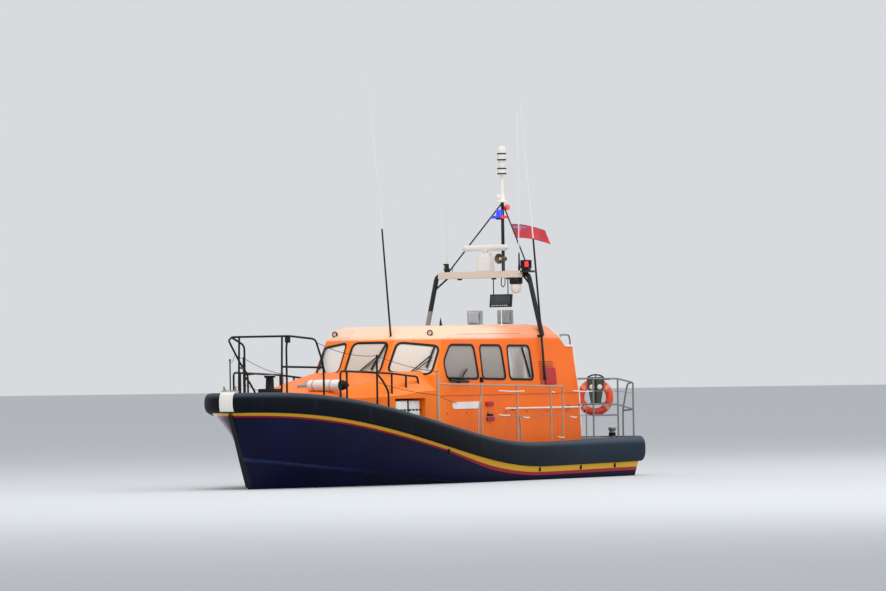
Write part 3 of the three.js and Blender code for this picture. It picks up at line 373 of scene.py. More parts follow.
def hull_half(x, y, out_x, out_y):
    """Half a section of the hull, from the keel round to the deck's centre."""
    side_x = x - out_x * FENDER_DEPTH
    side_y = max(y - out_y * FENDER_DEPTH, STEM_HALF)
    share = (side_x - TRANSOM) / (BOW_REACH - FENDER_DEPTH - TRANSOM)
    chine_x = TRANSOM + share * (CHINE_END - TRANSOM)
    keel_x = TRANSOM + share * (KEEL_END - TRANSOM)
    chine_y = max(1.9 * (1 - clamped((chine_x + 1.5) / 7.66) ** 2), STEM_HALF)
    inner_y = max(chine_y - 0.09 * clamped((chine_y - STEM_HALF) / 0.3), STEM_HALF)
    chine_foot, chine_rise, chine_start, chine_run, power = CHINE
    chine_z = chine_foot + chine_rise * clamped((chine_x - chine_start) / chine_run) ** power
    forefoot = 1 - (1 - clamped((KEEL_END - keel_x) / 3.5)) ** 2.2
    keel_z = 0.05 - forefoot + 0.15 * clamped(-keel_x / 6.7)
    flare = 0.5 - 0.14 * eased((side_x - 1) / 5)
    foot, deck = fender_foot(side_x), fender_top(side_x) - DECK_DROP
    camber = DECK_CAMBER * clamped(side_y / 2)
    low, high = Vector((chine_x, chine_y, chine_z)), Vector((side_x, side_y, foot))
    middle = Vector(((chine_x + side_x) / 2, chine_y + (side_y - chine_y) * flare, (chine_z + foot) / 2))
    bend = [low * (1 - t) * (1 - 2 * t) + middle * 4 * t * (1 - t) + high * t * (2 * t - 1)
            for t in (0, 0.17, 0.34, 0.5, 0.67, 0.84, 1)]
    return [Vector((keel_x, 0, keel_z)), Vector((keel_x, STEM_HALF, keel_z)),
            Vector((chine_x, inner_y, chine_z - 0.02)), *bend,
            Vector((side_x, side_y, deck)), Vector((side_x, side_y * 0.5, deck + camber * 0.75)),
            Vector((side_x, 0, deck + camber))]


def navy_hull():
    """Navy gloss over the whole side, with the bands that follow the fender's foot."""
    paint = Finish("hull_enamel")
    low, rise, start, run, lift = FENDER_FOOT
    aft = ((STERN_RISE_FROM - paint.x) / STERN_RISE_RUN).clamped()
    foot = low + ((paint.x - start) / run).eased() * rise + aft * lift
    depth = 0.19 - paint.x.between(-0.8, 1.6) * 0.1
    band = (paint.z > foot - depth) * (paint.z < foot + 0.02)
    red = (paint.z < foot - depth * 0.62) * band
    low, rise, start, run, power = CHINE
    chine = ((paint.x - start) / run).clamped() ** power * rise + low
    rail = (paint.z > chine - 0.025) * (paint.z < chine + 0.05) * (paint.x > -6.0)
    cloud = paint.noise(0.9, 3.0)
    salt = paint.noise(4.0, 6.0, (1, 1, 0.25))
    speck = paint.noise(90.0, 2.0)
    wet = 1 - paint.z.between(0.05, 0.5)
    colour = paint.mix(cloud.between(0.3, 0.8), ink("03062a"), ink("070b38"))
    colour = paint.mix(salt.between(0.55, 0.9) * 0.06, colour, ink("3d4668"))
    # Partly a lighter blue paint on the spray rail and partly a painted highlight: the paler chine band is
    # drawn only towards the bow, strongest near the stem.
    colour = paint.mix(rail * paint.x.between(2.0, 5.5) * 0.6, colour, ink("26365f"))
    sunlit = 1 - paint.x.between(-3.0, 2.0)
    colour = paint.mix(band, colour, paint.mix(sunlit, ink("cf9c22"), ink("e8b428")))
    colour = paint.mix(red, colour, paint.mix(sunlit, ink("93142c"), ink("b02a3c")))
    polished = (paint.y < -0.06) * paint.x.between(3.0, 5.0)
    return paint.done(
        Base_Color=colour, Roughness=0.34 + salt * 0.16 + speck * 0.03 - wet * 0.05,
        Coat_Weight=0.02 + polished * 0.98, Coat_Roughness=0.1, Specular_IOR_Level=0.12,
        Normal=paint.bump(cloud * 0.7 + salt * 0.3, 0.004, 0.25))


def sanded(name, colour, shade):
    """Paint with grit in it, worn paler where feet go."""
    paint = Finish(name)
    grit = paint.noise(420.0, 2.0)
    worn = paint.noise(1.7, 4.0)
    colour = paint.mix(worn.between(0.35, 0.75), ink(colour), ink(shade))
    colour = paint.mix(grit.between(0.45, 0.7) * 0.35, colour, ink("b9b9b4"))
    return paint.done(Base_Color=colour, Roughness=0.72 + grit * 0.15,
                      Normal=paint.bump(grit, 0.0016, 0.8))


hull_enamel = navy_hull()
deck_grit = sanded("deck_grit", "5b6068", "6e737a")
bilge_paint = enamel("bilge_paint", "c9ccc9", "aeb2b1", 0.4, 0.1)
stations = [bow_station(a * 3) for a in range(31)] + [side_station(-0.5 * i) for i in range(1, 14)]
stations.append(side_station(TRANSOM))
shell = skinned([hull_half(*station) for station in stations], loop=False)
bmesh.ops.mirror(shell, geom=shell.verts[:] + shell.edges[:] + shell.faces[:], axis="Y", merge_dist=1e-5)
bmesh.ops.remove_doubles(shell, verts=shell.verts, dist=1e-5)
bmesh.ops.holes_fill(shell, edges=[edge for edge in shell.edges if edge.is_boundary], sides=0)
bmesh.ops.recalc_face_normals(shell, faces=shell.faces)
RECESS_FRONT = -6.15
ROOM = {"aft": -6.05, "fore": -4.2, "half": 1.3, "foot": -0.33, "top": 0.74}
HATCHWAY = {"aft": -6.0, "fore": -5.15, "half": 0.8}
shell = carved(
    shell,
    boxed((-7.2, -ROOM["half"], -1.4), (RECESS_FRONT, ROOM["half"], 0.06)),
    boxed((ROOM["aft"], -ROOM["half"], ROOM["foot"]), (ROOM["fore"], ROOM["half"], ROOM["top"])),
    boxed((HATCHWAY["aft"], -HATCHWAY["half"], 0.4), (HATCHWAY["fore"], HATCHWAY["half"], 1.4)))
for face in shell.faces:
    spot = face.calc_center_median()
    inside = (ROOM["aft"] - 0.01 < spot.x < ROOM["fore"] + 0.01 and abs(spot.y) < ROOM["half"] + 0.01
              and ROOM["foot"] - 0.01 < spot.z < 0.95 and not (face.normal.z > 0.6 and spot.z > 0.78))
    if inside:
        face.material_index = 2
    elif face.normal.z > 0.85 and spot.z > fender_foot(spot.x) + 0.2:
        face.material_index = 1
solid("hull_shell", shell, [hull_enamel, deck_grit, bilge_paint], stands_for="hull", crisp=24)

# Fender
# A deep D-shaped foam fender in a dark sheath runs right round the boat, in four lengths butted together.
# It's scuffed along its widest line and streaked with pale salt runs; it is painted paler just under its top
# as a painted sky reflection, darker towards the bow as painted shade and paler towards the stern as painted
# light.
FENDER_BUTT = 38


def fender_ring(x, y, out_x, out_y):
    """The D section at a station, from its foot round to its top."""
    foot, top = fender_foot(x), fender_top(x)
    middle, half = (foot + top) / 2, (top - foot) / 2
    ring = []
    for step in range(15):
        angle = math.radians(-90 + step * 180 / 14)
        reach = FENDER_DEPTH * math.cos(angle) ** 0.62 if abs(angle) < 1.57 else 0.0003
        lift = half * math.copysign(abs(math.sin(angle)) ** 0.86, angle)
        back = reach - FENDER_DEPTH
        ring.append((x + out_x * back, y + out_y * back, middle + lift))
    return ring


def stern_corner(degrees):
    angle = math.radians(degrees)
    out_x, out_y = -math.sin(angle), math.cos(angle)
    inner = HALF_BEAM - 0.02 - FENDER_DEPTH
    return TRANSOM + out_x * FENDER_DEPTH, inner + out_y * FENDER_DEPTH, out_x, out_y


def opposite(station):
    x, y, out_x, out_y = station
    return x, -y, out_x, -out_y


sheath = Finish("fender_sheath")
scuff = sheath.noise(3.0, 6.0, (0.35, 0.35, 1.6))
fine = sheath.noise(45.0, 3.0)
runs = sheath.noise(9.0, 4.0, (1, 1, 0.12))
body = sheath.mix(scuff.between(0.45, 0.85) * 0.5, ink("060a13"), ink("121a26"))
body = sheath.mix(runs.between(0.55, 0.85) * 0.2, body, ink("4c565e"))
# Painted shade: the sheath is painted darker towards the bow.
body = sheath.mix(sheath.x.between(2.0, 5.5) * 0.4, body, ink("040818"))
# Painted light: the sheath is painted paler towards the stern.
body = sheath.mix((1 - sheath.x.between(-6.0, 1.5)) * 0.35, body, ink("33465a"))
# Painted sky reflection: the sheath is painted paler just under the fender's top line.
low, rise, start, run, _ = FENDER_TOP
crest = low + ((sheath.x - start) / run).eased() * rise
body = sheath.mix((sheath.z - crest).between(-0.13, -0.01) * 0.55, body, ink("56626e"))
fender_sheath = sheath.done(
    Base_Color=body, Roughness=0.5 + scuff * 0.25, Specular_IOR_Level=0.12,
    Normal=sheath.bump(scuff * 0.6 + fine * 0.4, 0.003, 0.5))
bow_arc = [bow_station(a) for a in range(0, FENDER_BUTT + 1, 2)]
nose = [opposite(station) for station in reversed(bow_arc[1:])] + bow_arc
solid("nose_fender", skinned([fender_ring(*station) for station in nose]), fender_sheath,
      stands_for="bow_fender")
flank = [bow_station(a) for a in [FENDER_BUTT + 0.03, *range(40, 91, 2)]]
flank += [side_station(x) for x in (-0.5, -1, -1.5, -2, -2.5, -3, -3.5, -4, -4.5, -5, -5.5, -6, -6.56)]
SIDES = ((1, "port"), (-1, "starboard"))
for side, name in SIDES:
    line = flank if side > 0 else [opposite(station) for station in flank]
    solid(f"{name}_side_fender", skinned([fender_ring(*station) for station in line]), fender_sheath,
          stands_for=f"{name}_fender")
quarter = [side_station(-6.5606)] + [stern_corner(a) for a in range(0, 91, 10)]
stern = quarter + [opposite(station) for station in reversed(quarter)]
solid("transom_fender", skinned([fender_ring(*station) for station in stern]), fender_sheath,
      stands_for="stern_fender")

# Bow fittings
# A black wear strip runs down the stem, and a white pad with a two-horned fairlead
# is bolted over the nose of the fender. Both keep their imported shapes, edges rounded.


def softened(node, width, segments=2, angle=30):
    """A merged copy of a CAD node's own shape with its edges rounded."""
    mesh = bmesh.new()
    mesh.from_mesh(nodes[node].data)
    bmesh.ops.remove_doubles(mesh, verts=mesh.verts, dist=2e-5)
    bmesh.ops.dissolve_limit(mesh, angle_limit=math.radians(0.6), verts=mesh.verts, edges=mesh.edges)
    sharp = [edge for edge in mesh.edges
             if len(edge.link_faces) == 2 and edge.calc_face_angle(0) > math.radians(angle)]
    bmesh.ops.bevel(mesh, geom=sharp, offset=width, segments=segments, profile=0.5,
                    affect="EDGES", clamp_overlap=True, material=-1)
    return mesh


def kept(name, node, finish, width=0.006, segments=2, angle=30, body="boat", crisp=32):
    """A piece with a CAD node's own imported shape, its edges rounded."""
    return solid(name, softened(node, width, segments, angle), finish, body, node, crisp, True)


def moulded(name, colour, shade, rough=0.5, grain=180.0):
    """Moulded plastic or rubber with a fine grain."""
    paint = Finish(name)
    paint.shader.inputs["Specular IOR Level"].default_value = 0.35
    cloud = paint.noise(2.4, 4.0)
    pips = paint.noise(grain, 2.0)
    colour = paint.mix(cloud.between(0.35, 0.8) * 0.6, ink(colour), ink(shade))
    return paint.done(Base_Color=colour, Roughness=rough + cloud * 0.12,
                      Normal=paint.bump(pips, 0.0008, 0.5))


black_rubber = moulded("black_rubber", "08090b", "1b1d21", 0.62)
white_enamel = enamel("white_enamel", "e6e4de", "cfcdc6", 0.3, 0.5)


def horned_pad():
    """White paint on the pad, worn to bare grey metal on the horns above it."""
    paint = Finish("pad_paint")
    worn = paint.noise(18.0, 5.0)
    stain = paint.noise(6.0, 5.0, (1, 1, 0.2))
    white = paint.mix(stain.between(0.5, 0.85) * 0.4, ink("e9e4dc"), ink("b9a994"))
    bare = paint.mix(worn, ink("6a6864"), ink("98938c"))
    above = (paint.z + worn * 0.05).between(2.06, 2.11)
    return paint.done(Base_Color=paint.mix(above, white, bare), Roughness=0.4 + worn * 0.2,
                      Normal=paint.bump(worn, 0.002, 0.3))


pad_paint = horned_pad()
kept("stem_strip", "stem_guard", black_rubber)
kept("nose_pad", "bow_fairlead", pad_paint, 0.008)

# Foredeck trunk
# The orange trunk ahead of the windscreen has sloping shoulders, bays for the two
# life raft canisters, a sanded walkway on top and an aluminium hatch in a frame.


def orange_paint():
    """Signal orange gloss, a little chalky, with salt in streaks; painted yellower forward as painted light
    and pale along the roof's edge as a painted sky reflection.
    """
    paint = Finish("orange_enamel")
    cloud = paint.noise(1.1, 4.0)
    streak = paint.noise(6.0, 5.0, (1.0, 1.0, 0.14))
    orange_peel = paint.noise(150.0, 1.0)
    colour = paint.mix(cloud.between(0.3, 0.8) * 0.55, ink("fb7214"), ink("f06612"))
    colour = paint.mix(streak.between(0.55, 0.9) * 0.1, colour, ink("f2a272"))
    # Painted light: the forward parts, windscreen and trunk, are painted a yellower orange for the light on
    # their sloping faces.
    colour = paint.mix(paint.x.between(0.45, 0.95) * 0.5, colour, ink("ff8412"))
    # Painted sky reflection: a pale band along the roof's edge, broken in patches and weaker aft, painted
    # into the orange.
    patch = paint.noise(1.6, 4.0, (0.5, 1.0, 1.0))
    roof_glare = paint.z.between(3.075, 3.135) * (1 - patch.between(0.55, 0.72) * 0.5)
    roof_glare = roof_glare * (0.35 + paint.x.between(-2.6, -1.2) * 0.65)
    colour = paint.mix(roof_glare * 0.85, colour, ink("ffdcc0"))
    return paint.done(Base_Color=colour, Roughness=0.4 + streak * 0.16, Coat_Weight=0.12,
                      Coat_Roughness=0.15, Specular_IOR_Level=0.2,
                      Normal=paint.bump(orange_peel * 0.3 + cloud * 0.7, 0.0015, 0.25))


def alloy(name, colour, rough=0.38, metallic=0.85, grain=(1, 1, 1)):
    """Bare metal, brushed along its grain and a little stained."""
    metal = Finish(name)
    brushed = metal.noise(120.0, 2.0, grain)
    stain = metal.noise(7.0, 5.0)
    tone = metal.mix(stain.between(0.5, 0.85) * 0.35, ink(colour), ink("6b6a66"))
    return metal.done(Base_Color=tone, Metallic=metallic, Roughness=rough + stain * 0.18 + brushed * 0.08,
                      Normal=metal.bump(brushed, 0.0006, 0.4))


def turned(profile, place, axis=(0, 0, 1), steps=28):
    """A profile of radius and height pairs, spun about an axis through a place."""
    mesh = bmesh.new()
    points = [mesh.verts.new((radius, 0, height)) for radius, height in profile]
    edges = [mesh.edges.new(pair) for pair in zip(points, points[1:])]
    bmesh.ops.spin(mesh, geom=points + edges, cent=(0, 0, 0), axis=(0, 0, 1), angle=math.tau,
                   steps=steps, use_merge=True)
    bmesh.ops.remove_doubles(mesh, verts=mesh.verts, dist=1e-6)
    bmesh.ops.recalc_face_normals(mesh, faces=mesh.faces)
    lean = Vector((0, 0, 1)).rotation_difference(Vector(axis)).to_matrix().to_4x4()
    bmesh.ops.transform(mesh, matrix=Matrix.Translation(place) @ lean, verts=mesh.verts)
    return mesh


def rounded(path, reach=0.09, steps=5):
    """The path with each inner corner eased round."""
    points = [Vector(point) for point in path]
    out = [points[0]]
    for before, corner, after in zip(points, points[1:], points[2:]):
        start = corner + (before - corner).normalized() * min(reach, (before - corner).length * 0.45)
        end = corner + (after - corner).normalized() * min(reach, (after - corner).length * 0.45)
        out += [start.lerp(corner, t / steps).lerp(corner.lerp(end, t / steps), t / steps)
                for t in range(steps + 1)]
    return out + [points[-1]]


def tubes(radius, *paths, reach=0.09, closed=False, sides=2):
    """Round bars of one radius along several paths, their bends eased."""
    curve = bpy.data.curves.new("bar", "CURVE")
    curve.dimensions = "3D"
    curve.bevel_depth = radius
    curve.bevel_resolution = sides
    curve.use_fill_caps = True
    for path in paths:
        points = path if closed or len(path) < 3 else rounded(path, reach)
        line = curve.splines.new("POLY")
        line.points.add(len(points) - 1)
        for spot, point in zip(line.points, points):
            spot.co = (*point, 1)
        line.use_cyclic_u = closed
    holder = bpy.data.objects.new("bar", curve)
    mesh = bmesh.new()
    mesh.from_mesh(holder.to_mesh())
    holder.to_mesh_clear()
    bpy.data.objects.remove(holder)
    bpy.data.curves.remove(curve)
    bmesh.ops.remove_doubles(mesh, verts=mesh.verts, dist=1e-5)
    bmesh.ops.recalc_face_normals(mesh, faces=mesh.faces)
    return mesh


orange_enamel = orange_paint()
cast_alloy = alloy("cast_alloy", "a9adb0")
kept("trunk", "foredeck_trunk", orange_enamel, 0.018, 3, 16, crisp=46)
solid("trunk_hatch", gathered(
    softened("foredeck_hatch", 0.006),
    tubes(0.008, [(3.5, -0.12, 2.2), (3.5, -0.12, 2.235), (3.5, 0.12, 2.235), (3.5, 0.12, 2.2)], reach=0.03)),
    cast_alloy, body="fore_hatch", stands_for="foredeck_hatch", broad=True)

# Life rafts
# Two white canisters a side lie in the bays beside the trunk, each a pair of moulded
# halves with a dark joint, ribs and webbing straps.
RAFT_Y = (1.08, 1.49)
RAFT_Z = (1.29, 1.785)
RAFT_X = ((1.485, 1.935), (1.975, 2.42))
white_shell = moulded("white_shell", "eeeeea", "dcdbd4", 0.34, 60.0)
strap_web = moulded("strap_web", "121317", "25272d", 0.8, 600.0)


def raft_case(side, aft, fore):
    """One canister half: a rounded box with three shallow ribs."""
    low, high = sorted((side * RAFT_Y[0], side * RAFT_Y[1]))
    ribs = [boxed((aft + 0.06 + 0.14 * i, low - 0.006, RAFT_Z[0] + 0.05),
                  (aft + 0.09 + 0.14 * i, high + 0.006, RAFT_Z[1] + 0.006), 0.006) for i in range(3)]
    return gathered(boxed((aft, low, RAFT_Z[0]), (fore, high, RAFT_Z[1]), 0.045, 4), *ribs)


def raft_straps(side):
    """A belt round each case and one upright strap in the gap between them."""
    low, high = sorted((side * RAFT_Y[0], side * RAFT_Y[1]))
    belts = [boxed((aft - 0.004, low - 0.004, 1.575), (fore + 0.004, high + 0.004, 1.615), 0.006)
             for aft, fore in RAFT_X]
    return gathered(*belts, boxed((RAFT_X[0][1] + 0.004, low + 0.01, RAFT_Z[0] + 0.01),
                                  (RAFT_X[1][0] - 0.004, high - 0.006, RAFT_Z[1] - 0.004), 0.004))


for side, name in SIDES:
    solid(f"{name}_raft_cases", gathered(*[raft_case(side, aft, fore) for aft, fore in RAFT_X]), white_shell,
          stands_for=f"{name}_liferaft")
    solid(f"{name}_raft_straps", raft_straps(side), strap_web)

# Deckhouse
# A welded aluminium house in orange gloss, its walls leaning in above a knuckle and
# its roof edge rounded. The panes sit in thick black rubber, three across the
# front and three a side.
kept("house_shell", "deckhouse", orange_enamel, 0.014, 3, 13, crisp=46)
kept("after_door", "aft_door", orange_enamel, body="door")
# each level's height and half width
HOUSE_HALF = [(1.88, 1.66), (2.33, 1.62), (3.05, 1.54)]
# height, the centre pane's x, and the corner's x and y
FACET_LEVELS = ((2.33, 1.50, 0.95, 1.62), (3.05, 1.07, 0.562, 1.54))
HALF_FRONT = 0.57
# x and z of the corners of each side pane
SIDE_WINDOWS = [
    [(0.600, 2.270), (0.660, 2.620), (0.350, 2.960), (-0.590, 2.950), (-0.680, 2.250)],
    [(-0.870, 2.250), (-0.870, 2.945), (-1.720, 2.935), (-1.800, 2.230)],
    [(-2.000, 2.230), (-2.000, 2.930), (-2.900, 2.920), (-2.960, 2.210)],
]
# across the facet and height, for the corners of the front panes
CENTRE_PANE = [(-0.44, 2.40), (0.44, 2.40), (0.435, 3.03), (-0.435, 3.03)]
SIDE_PANE = [(-0.49, 2.425), (0.425, 2.36), (0.585, 2.94), (-0.30, 3.03)]


def house_side(z):
    """Half the width of the house at a height, by its three levels."""
    if z <= HOUSE_HALF[0][0]:
        return HOUSE_HALF[0][1]
    for (z0, y0), (z1, y1) in zip(HOUSE_HALF, HOUSE_HALF[1:]):
        if z <= z1:
            return y0 + (y1 - y0) * (z - z0) / (z1 - z0)
    return HOUSE_HALF[-1][1]


def facet(side):
    """The windscreen facet's place, crosswise, upward and outward directions."""
    (z0, f0, c0, y0), (z1, f1, c1, y1) = FACET_LEVELS
    if side == 0:
        low, high, cross = Vector((f0, 0, z0)), Vector((f1, 0, z1)), Vector((0, 1, 0))
    else:
        low = Vector(((f0 + c0) / 2, side * (HALF_FRONT + y0) / 2, z0))
        high = Vector(((f1 + c1) / 2, side * (HALF_FRONT + y1) / 2, z1))
        cross = Vector((c1 - f1, side * (y1 - HALF_FRONT), 0)).normalized() * side
    rise = high - low
    rise = (rise - cross * rise.dot(cross)).normalized()
    return low, cross, rise, cross.cross(rise).normalized()


def eased_loop(corners, radius=0.085, steps=5):
    """A closed outline with its corners rounded."""
    points = [Vector(corner) for corner in corners]
    out = []
    for i, corner in enumerate(points):
        before, after = points[i - 1], points[(i + 1) % len(points)]
        start = corner + (before - corner).normalized() * radius
        end = corner + (after - corner).normalized() * radius
        out += [start.lerp(corner, t / steps).lerp(corner.lerp(end, t / steps), t / steps)
                for t in range(steps + 1)]
    return out


def grown(loop, distance):
    """A closed flat outline moved outwards by a distance."""
    centre = sum(loop, Vector((0, 0))) / len(loop)
    out = []
    for i, point in enumerate(loop):
        along = loop[(i + 1) % len(loop)] - loop[i - 1]
        away = Vector((along.y, -along.x)).normalized()
        out.append(point + away * (distance if away.dot(point - centre) > 0 else -distance))
    return out


def gasket(loop, to_space, width=0.042, proud=0.012, sunk=0.03):
    """A rubber frame round a window; to_space turns (u, v, height) into the row frame."""
    inner, outer = grown(loop, -0.006), grown(loop, width)
    crest = grown(loop, width * 0.45)
    rings = [[to_space(p.x, p.y, h) for p in ring]
             for ring, h in ((inner, -sunk), (inner, proud * 0.6), (crest, proud), (outer, proud * 0.4),
                             (outer, -sunk))]
    return skinned([*rings, rings[0]], capped=False)


def pane_loop(side):
    low, cross, rise, out = facet(side)
    corners = SIDE_PANE if side else CENTRE_PANE
    turned_to = -1 if side < 0 else 1
    return eased_loop([(turned_to * u, (z - low.z) / rise.z) for u, z in corners], 0.13)


def on_facet(side):
    low, cross, rise, out = facet(side)
    return lambda u, v, h: low + cross * u + rise * v + out * h


def on_side(side):
    return lambda u, v, h: Vector((u, side * (house_side(v) + h), v))


seals = [gasket(pane_loop(side), on_facet(side)) for side in (0, 1, -1)]
seals += [gasket(eased_loop(corners, 0.1), on_side(side)) for corners in SIDE_WINDOWS for side in (1, -1)]
solid("window_seals", gathered(*seals), black_rubber)

# Glass
# Toughened glass: the raked windscreen panes are painted pale for the sky they reflect, while the upright
# side panes are painted darker for the shaded cabin behind.


def sheet_glass(name, low_tone, high_tone, alpha):
    """Glass painted paler towards its head as a painted sky reflection, with a trace of dried spray, painted
    streaks of reflected light on the aftmost side panes and a painted glare on the starboard windscreen pane.
    """
    glass = Finish(name)
    spray = glass.noise(40.0, 5.0)
    tone = glass.mix(glass.z.between(2.2, 3.1), ink(low_tone), ink(high_tone))
    tone = glass.mix(spray.between(0.55, 0.8) * 0.2, tone, ink("dcd8d0"))
    # Painted reflection: pale streaks of reflected light on the aftmost side panes.
    sheen = glass.noise(3.2, 3.0, (1.0, 1.0, 0.16)).between(0.42, 0.66)
    last_pane = glass.x.between(-2.05, -1.95) * -1 + 1
    tone = glass.mix(sheen * last_pane * 0.75, tone, ink("e6e3df"))
    # Painted glare: the starboard windscreen pane is painted near white for the sky it reflects.
    tone = glass.mix((1 - glass.y.between(-0.6, -0.5)) * glass.x.between(0.6, 0.7) * 0.8, tone, ink("f6f3ee"))
    return glass.done(Base_Color=tone, Roughness=0.3 + spray * 0.1, Alpha=alpha,
                      Coat_Weight=0.3, Coat_Roughness=0.15, Specular_IOR_Level=0.25)


front_glass = sheet_glass("front_glass", "cdbfae", "ddd3c6", 0.9)
side_glass = sheet_glass("side_glass", "968b82", "aea39a", 0.9)
for node, glass in (("windscreen", front_glass), ("port_windows", side_glass),
                    ("starboard_windows", side_glass)):
    for slot in nodes[node].material_slots:
        slot.material = glass

# Wipers
# Black pantograph wipers: two thin arms from a motor on the sill carry each blade.
# pane, the motor's place, and the blade's two ends, across and up the pane
WIPERS = [
    (0, (-0.095, 0.035), (0.235, 0.13), (0.415, 0.76)),
    (1, (-0.06, 0.0), (0.34, 0.17), (0.50, 0.68)),
    (-1, (0.06, 0.0), (-0.34, 0.17), (-0.50, 0.68)),
]
MOTOR = [(0, 0), (0.034, 0), (0.034, 0.035), (0.022, 0.05), (0, 0.05)]
arms = []
for pane, foot, blade_low, blade_high in WIPERS:
    put = on_facet(pane)
    low, high = Vector(blade_low), Vector(blade_high)
    middle = low.lerp(high, 0.55)
    arms += [
        tubes(0.015, [put(*foot, 0.045), put(*middle, 0.055)]),
        tubes(0.008, [put(foot[0] + 0.06, foot[1] + 0.01, 0.045),
                      put(middle.x + 0.03, middle.y - 0.05, 0.055)]),
        tubes(0.024, [put(*low, 0.036), put(*high, 0.036)]),
        tubes(0.006, [put(*low.lerp(high, 0.15), 0.034), put(*middle, 0.052),
                      put(*low.lerp(high, 0.9), 0.034)]),
        turned(MOTOR, put(*foot, 0.002), facet(pane)[3]),
    ]
black_paint = moulded("black_paint", "050508", "0d0e12", 0.42, 300.0)
solid("wipers", gathered(*arms), black_paint)

# Fittings on the house
# Small things screwed to the painted walls: bare name boards, bolt heads, call boxes,
# a red stowage pocket, the boathook in its clips and pale bead along the after corners.


def fitted(to_space, corners, thick, radius=0.02, chamfer=0.004):
    """A plate or box on a wall: an eased outline raised off it and chamfered."""
    loop = eased_loop(corners, radius, 3)
    inner = grown(loop, -chamfer)
    return skinned([[to_space(p.x, p.y, h) for p in ring]
                    for ring, h in ((loop, -0.006), (loop, thick - chamfer), (inner, thick))])


def oblong(aft, fore, foot, head):
    return [(aft, foot), (aft, head), (fore, head), (fore, foot)]


red_panel = moulded("red_panel", "b8232c", "9c1a26", 0.4, 120.0)
board_white = enamel("board_white", "f0efeb", "dcdad4", 0.35, 0.3)
bolt_paint = enamel("bolt_paint", "a8401a", "8f3413", 0.45, 0.2)
pole_white = enamel("pole_white", "efe9df", "d8cfc0", 0.35, 0.3)
both = (1, -1)


def wall_plates(name, finish, slot, *plates):
    """Plates on both walls, each with its aft end, fore end, foot, head, thickness,
    corner radius and chamfer."""
    solid(name, gathered(*[fitted(on_side(s), oblong(*plate[:4]), *plate[4:])
                           for s in both for plate in plates]), finish)


wall_plates("name_boards", board_white, "white", (-0.72, 0.46, 1.59, 1.74, 0.012, 0.07, 0.003))
WALL_BOLTS = (0.685, -0.11, -0.98, -1.72, -2.61, -3.5, -4.3)
BOLT_Z = 1.5
BOLT_HEAD = [(0, -0.004), (0.022, -0.004), (0.022, 0.0056), (0.0132, 0.014), (0, 0.014)]
solid("wall_bolts", gathered(*[turned(BOLT_HEAD, on_side(s)(x, BOLT_Z, 0), (0, s, 0), 10)
                               for s in both for x in WALL_BOLTS]), bolt_paint)
wall_plates("call_boxes", red_panel, "red", (-1.17, -0.89, 1.63, 1.73, 0.05, 0.015, 0.006),
            (-1.2, -0.92, 1.31, 1.4, 0.05, 0.015, 0.006))
wall_plates("call_box_switches", black_paint, "black", (-1.12, -0.95, 1.4, 1.47, 0.06, 0.01))
wall_plates("stowage_pockets", red_panel, "red", (-3.88, -3.42, 2.08, 2.45, 0.045, 0.03, 0.012))
wall_plates("pocket_surrounds", bolt_paint, "orange", (-3.41, -3.27, 2.1, 2.43, 0.02, 0.015),
            *[(-3.86, -3.25, z, z + 0.018, 0.008, 0.006, 0.002) for z in (2.47, 2.52, 2.57)])
solid("wall_knuckles", gathered(*[tubes(0.007, [(0.9, s * 1.662, 1.88), (-4.86, s * 1.662, 1.88)])
                                  for s in both]), bolt_paint)
wall_plates("wall_battens", orange_enamel, "orange",
            *[(x - 0.014, x + 0.014, 0.98, 1.86, 0.006, 0.01, 0.003) for x in (-0.45, -2.15, -3.95)])


def boathook(s):
    """A long pole lying in two clips, with a hook at its after end."""
    y = s * 1.715
    hook = [(-4.7, y, 1.565), (-4.83, y, 1.565), (-4.86, y + s * 0.02, 1.6), (-4.8, y, 1.62)]
    return gathered(tubes(0.02, [(-1.64, y, 1.575), (-4.70, y, 1.565)], sides=4),
                    tubes(0.009, hook, reach=0.03))


solid("boathooks", gathered(boathook(1), boathook(-1)), pole_white)
solid("boathook_clips", gathered(*[
    boxed((x - 0.03, s * 1.69 - 0.035, 1.54), (x + 0.03, s * 1.69 + 0.035, 1.6), 0.008)
    for s in both for x in (-2.0, -4.35)]), black_paint)
CORNER_BEAD = [(-4.045, 1.385, 3.335), (-4.2, 1.492, 3.185), (-4.33, 1.535, 3.05), (-4.46, 1.552, 2.925),
               (-4.795, 1.552, 2.925), (-4.84, 1.6, 2.36), (-4.885, 1.645, 1.88), (-4.968, 1.645, 0.92)]
solid("corner_beads", gathered(*[tubes(0.024, [(x, s * y, z) for x, y, z in CORNER_BEAD], reach=0.03)
                                 for s in both]), pole_white)

# Side wipers
# Short black wipers are parked along the foot of the first side pane, and a blind's
# dark bar leans behind the last one.
# radius, then each end: along the wall, its height, and how far off the wall
PARKED = [
    (0.015, (0.63, 2.275, 0.03), (-0.1, 2.25, 0.03)),
    (0.026, (0.55, 2.215, 0.03), (-0.2, 2.175, 0.035)),
    (0.014, (0.5, 2.15, 0.02), (0.02, 2.125, 0.02)),
    (0.012, (0.17, 2.19, 0.05), (-0.14, 2.43, 0.04)),
    (0.015, (0.02, 2.28, 0.03), (-0.2, 2.45, 0.03)),
    (0.02, (-2.61, 2.9, 0.008), (-2.83, 2.25, 0.008)),
]
SPINDLE = [(0, 0), (0.045, 0), (0.045, 0.035), (0.028, 0.055), (0, 0.055)]
solid("side_wipers", gathered(
    *[tubes(radius, [on_side(s)(*first), on_side(s)(*last)]) for s in both for radius, first, last in PARKED],
    *[turned(SPINDLE, on_side(s)(0.16, 2.185, 0), (0, s, 0)) for s in both]), black_paint)

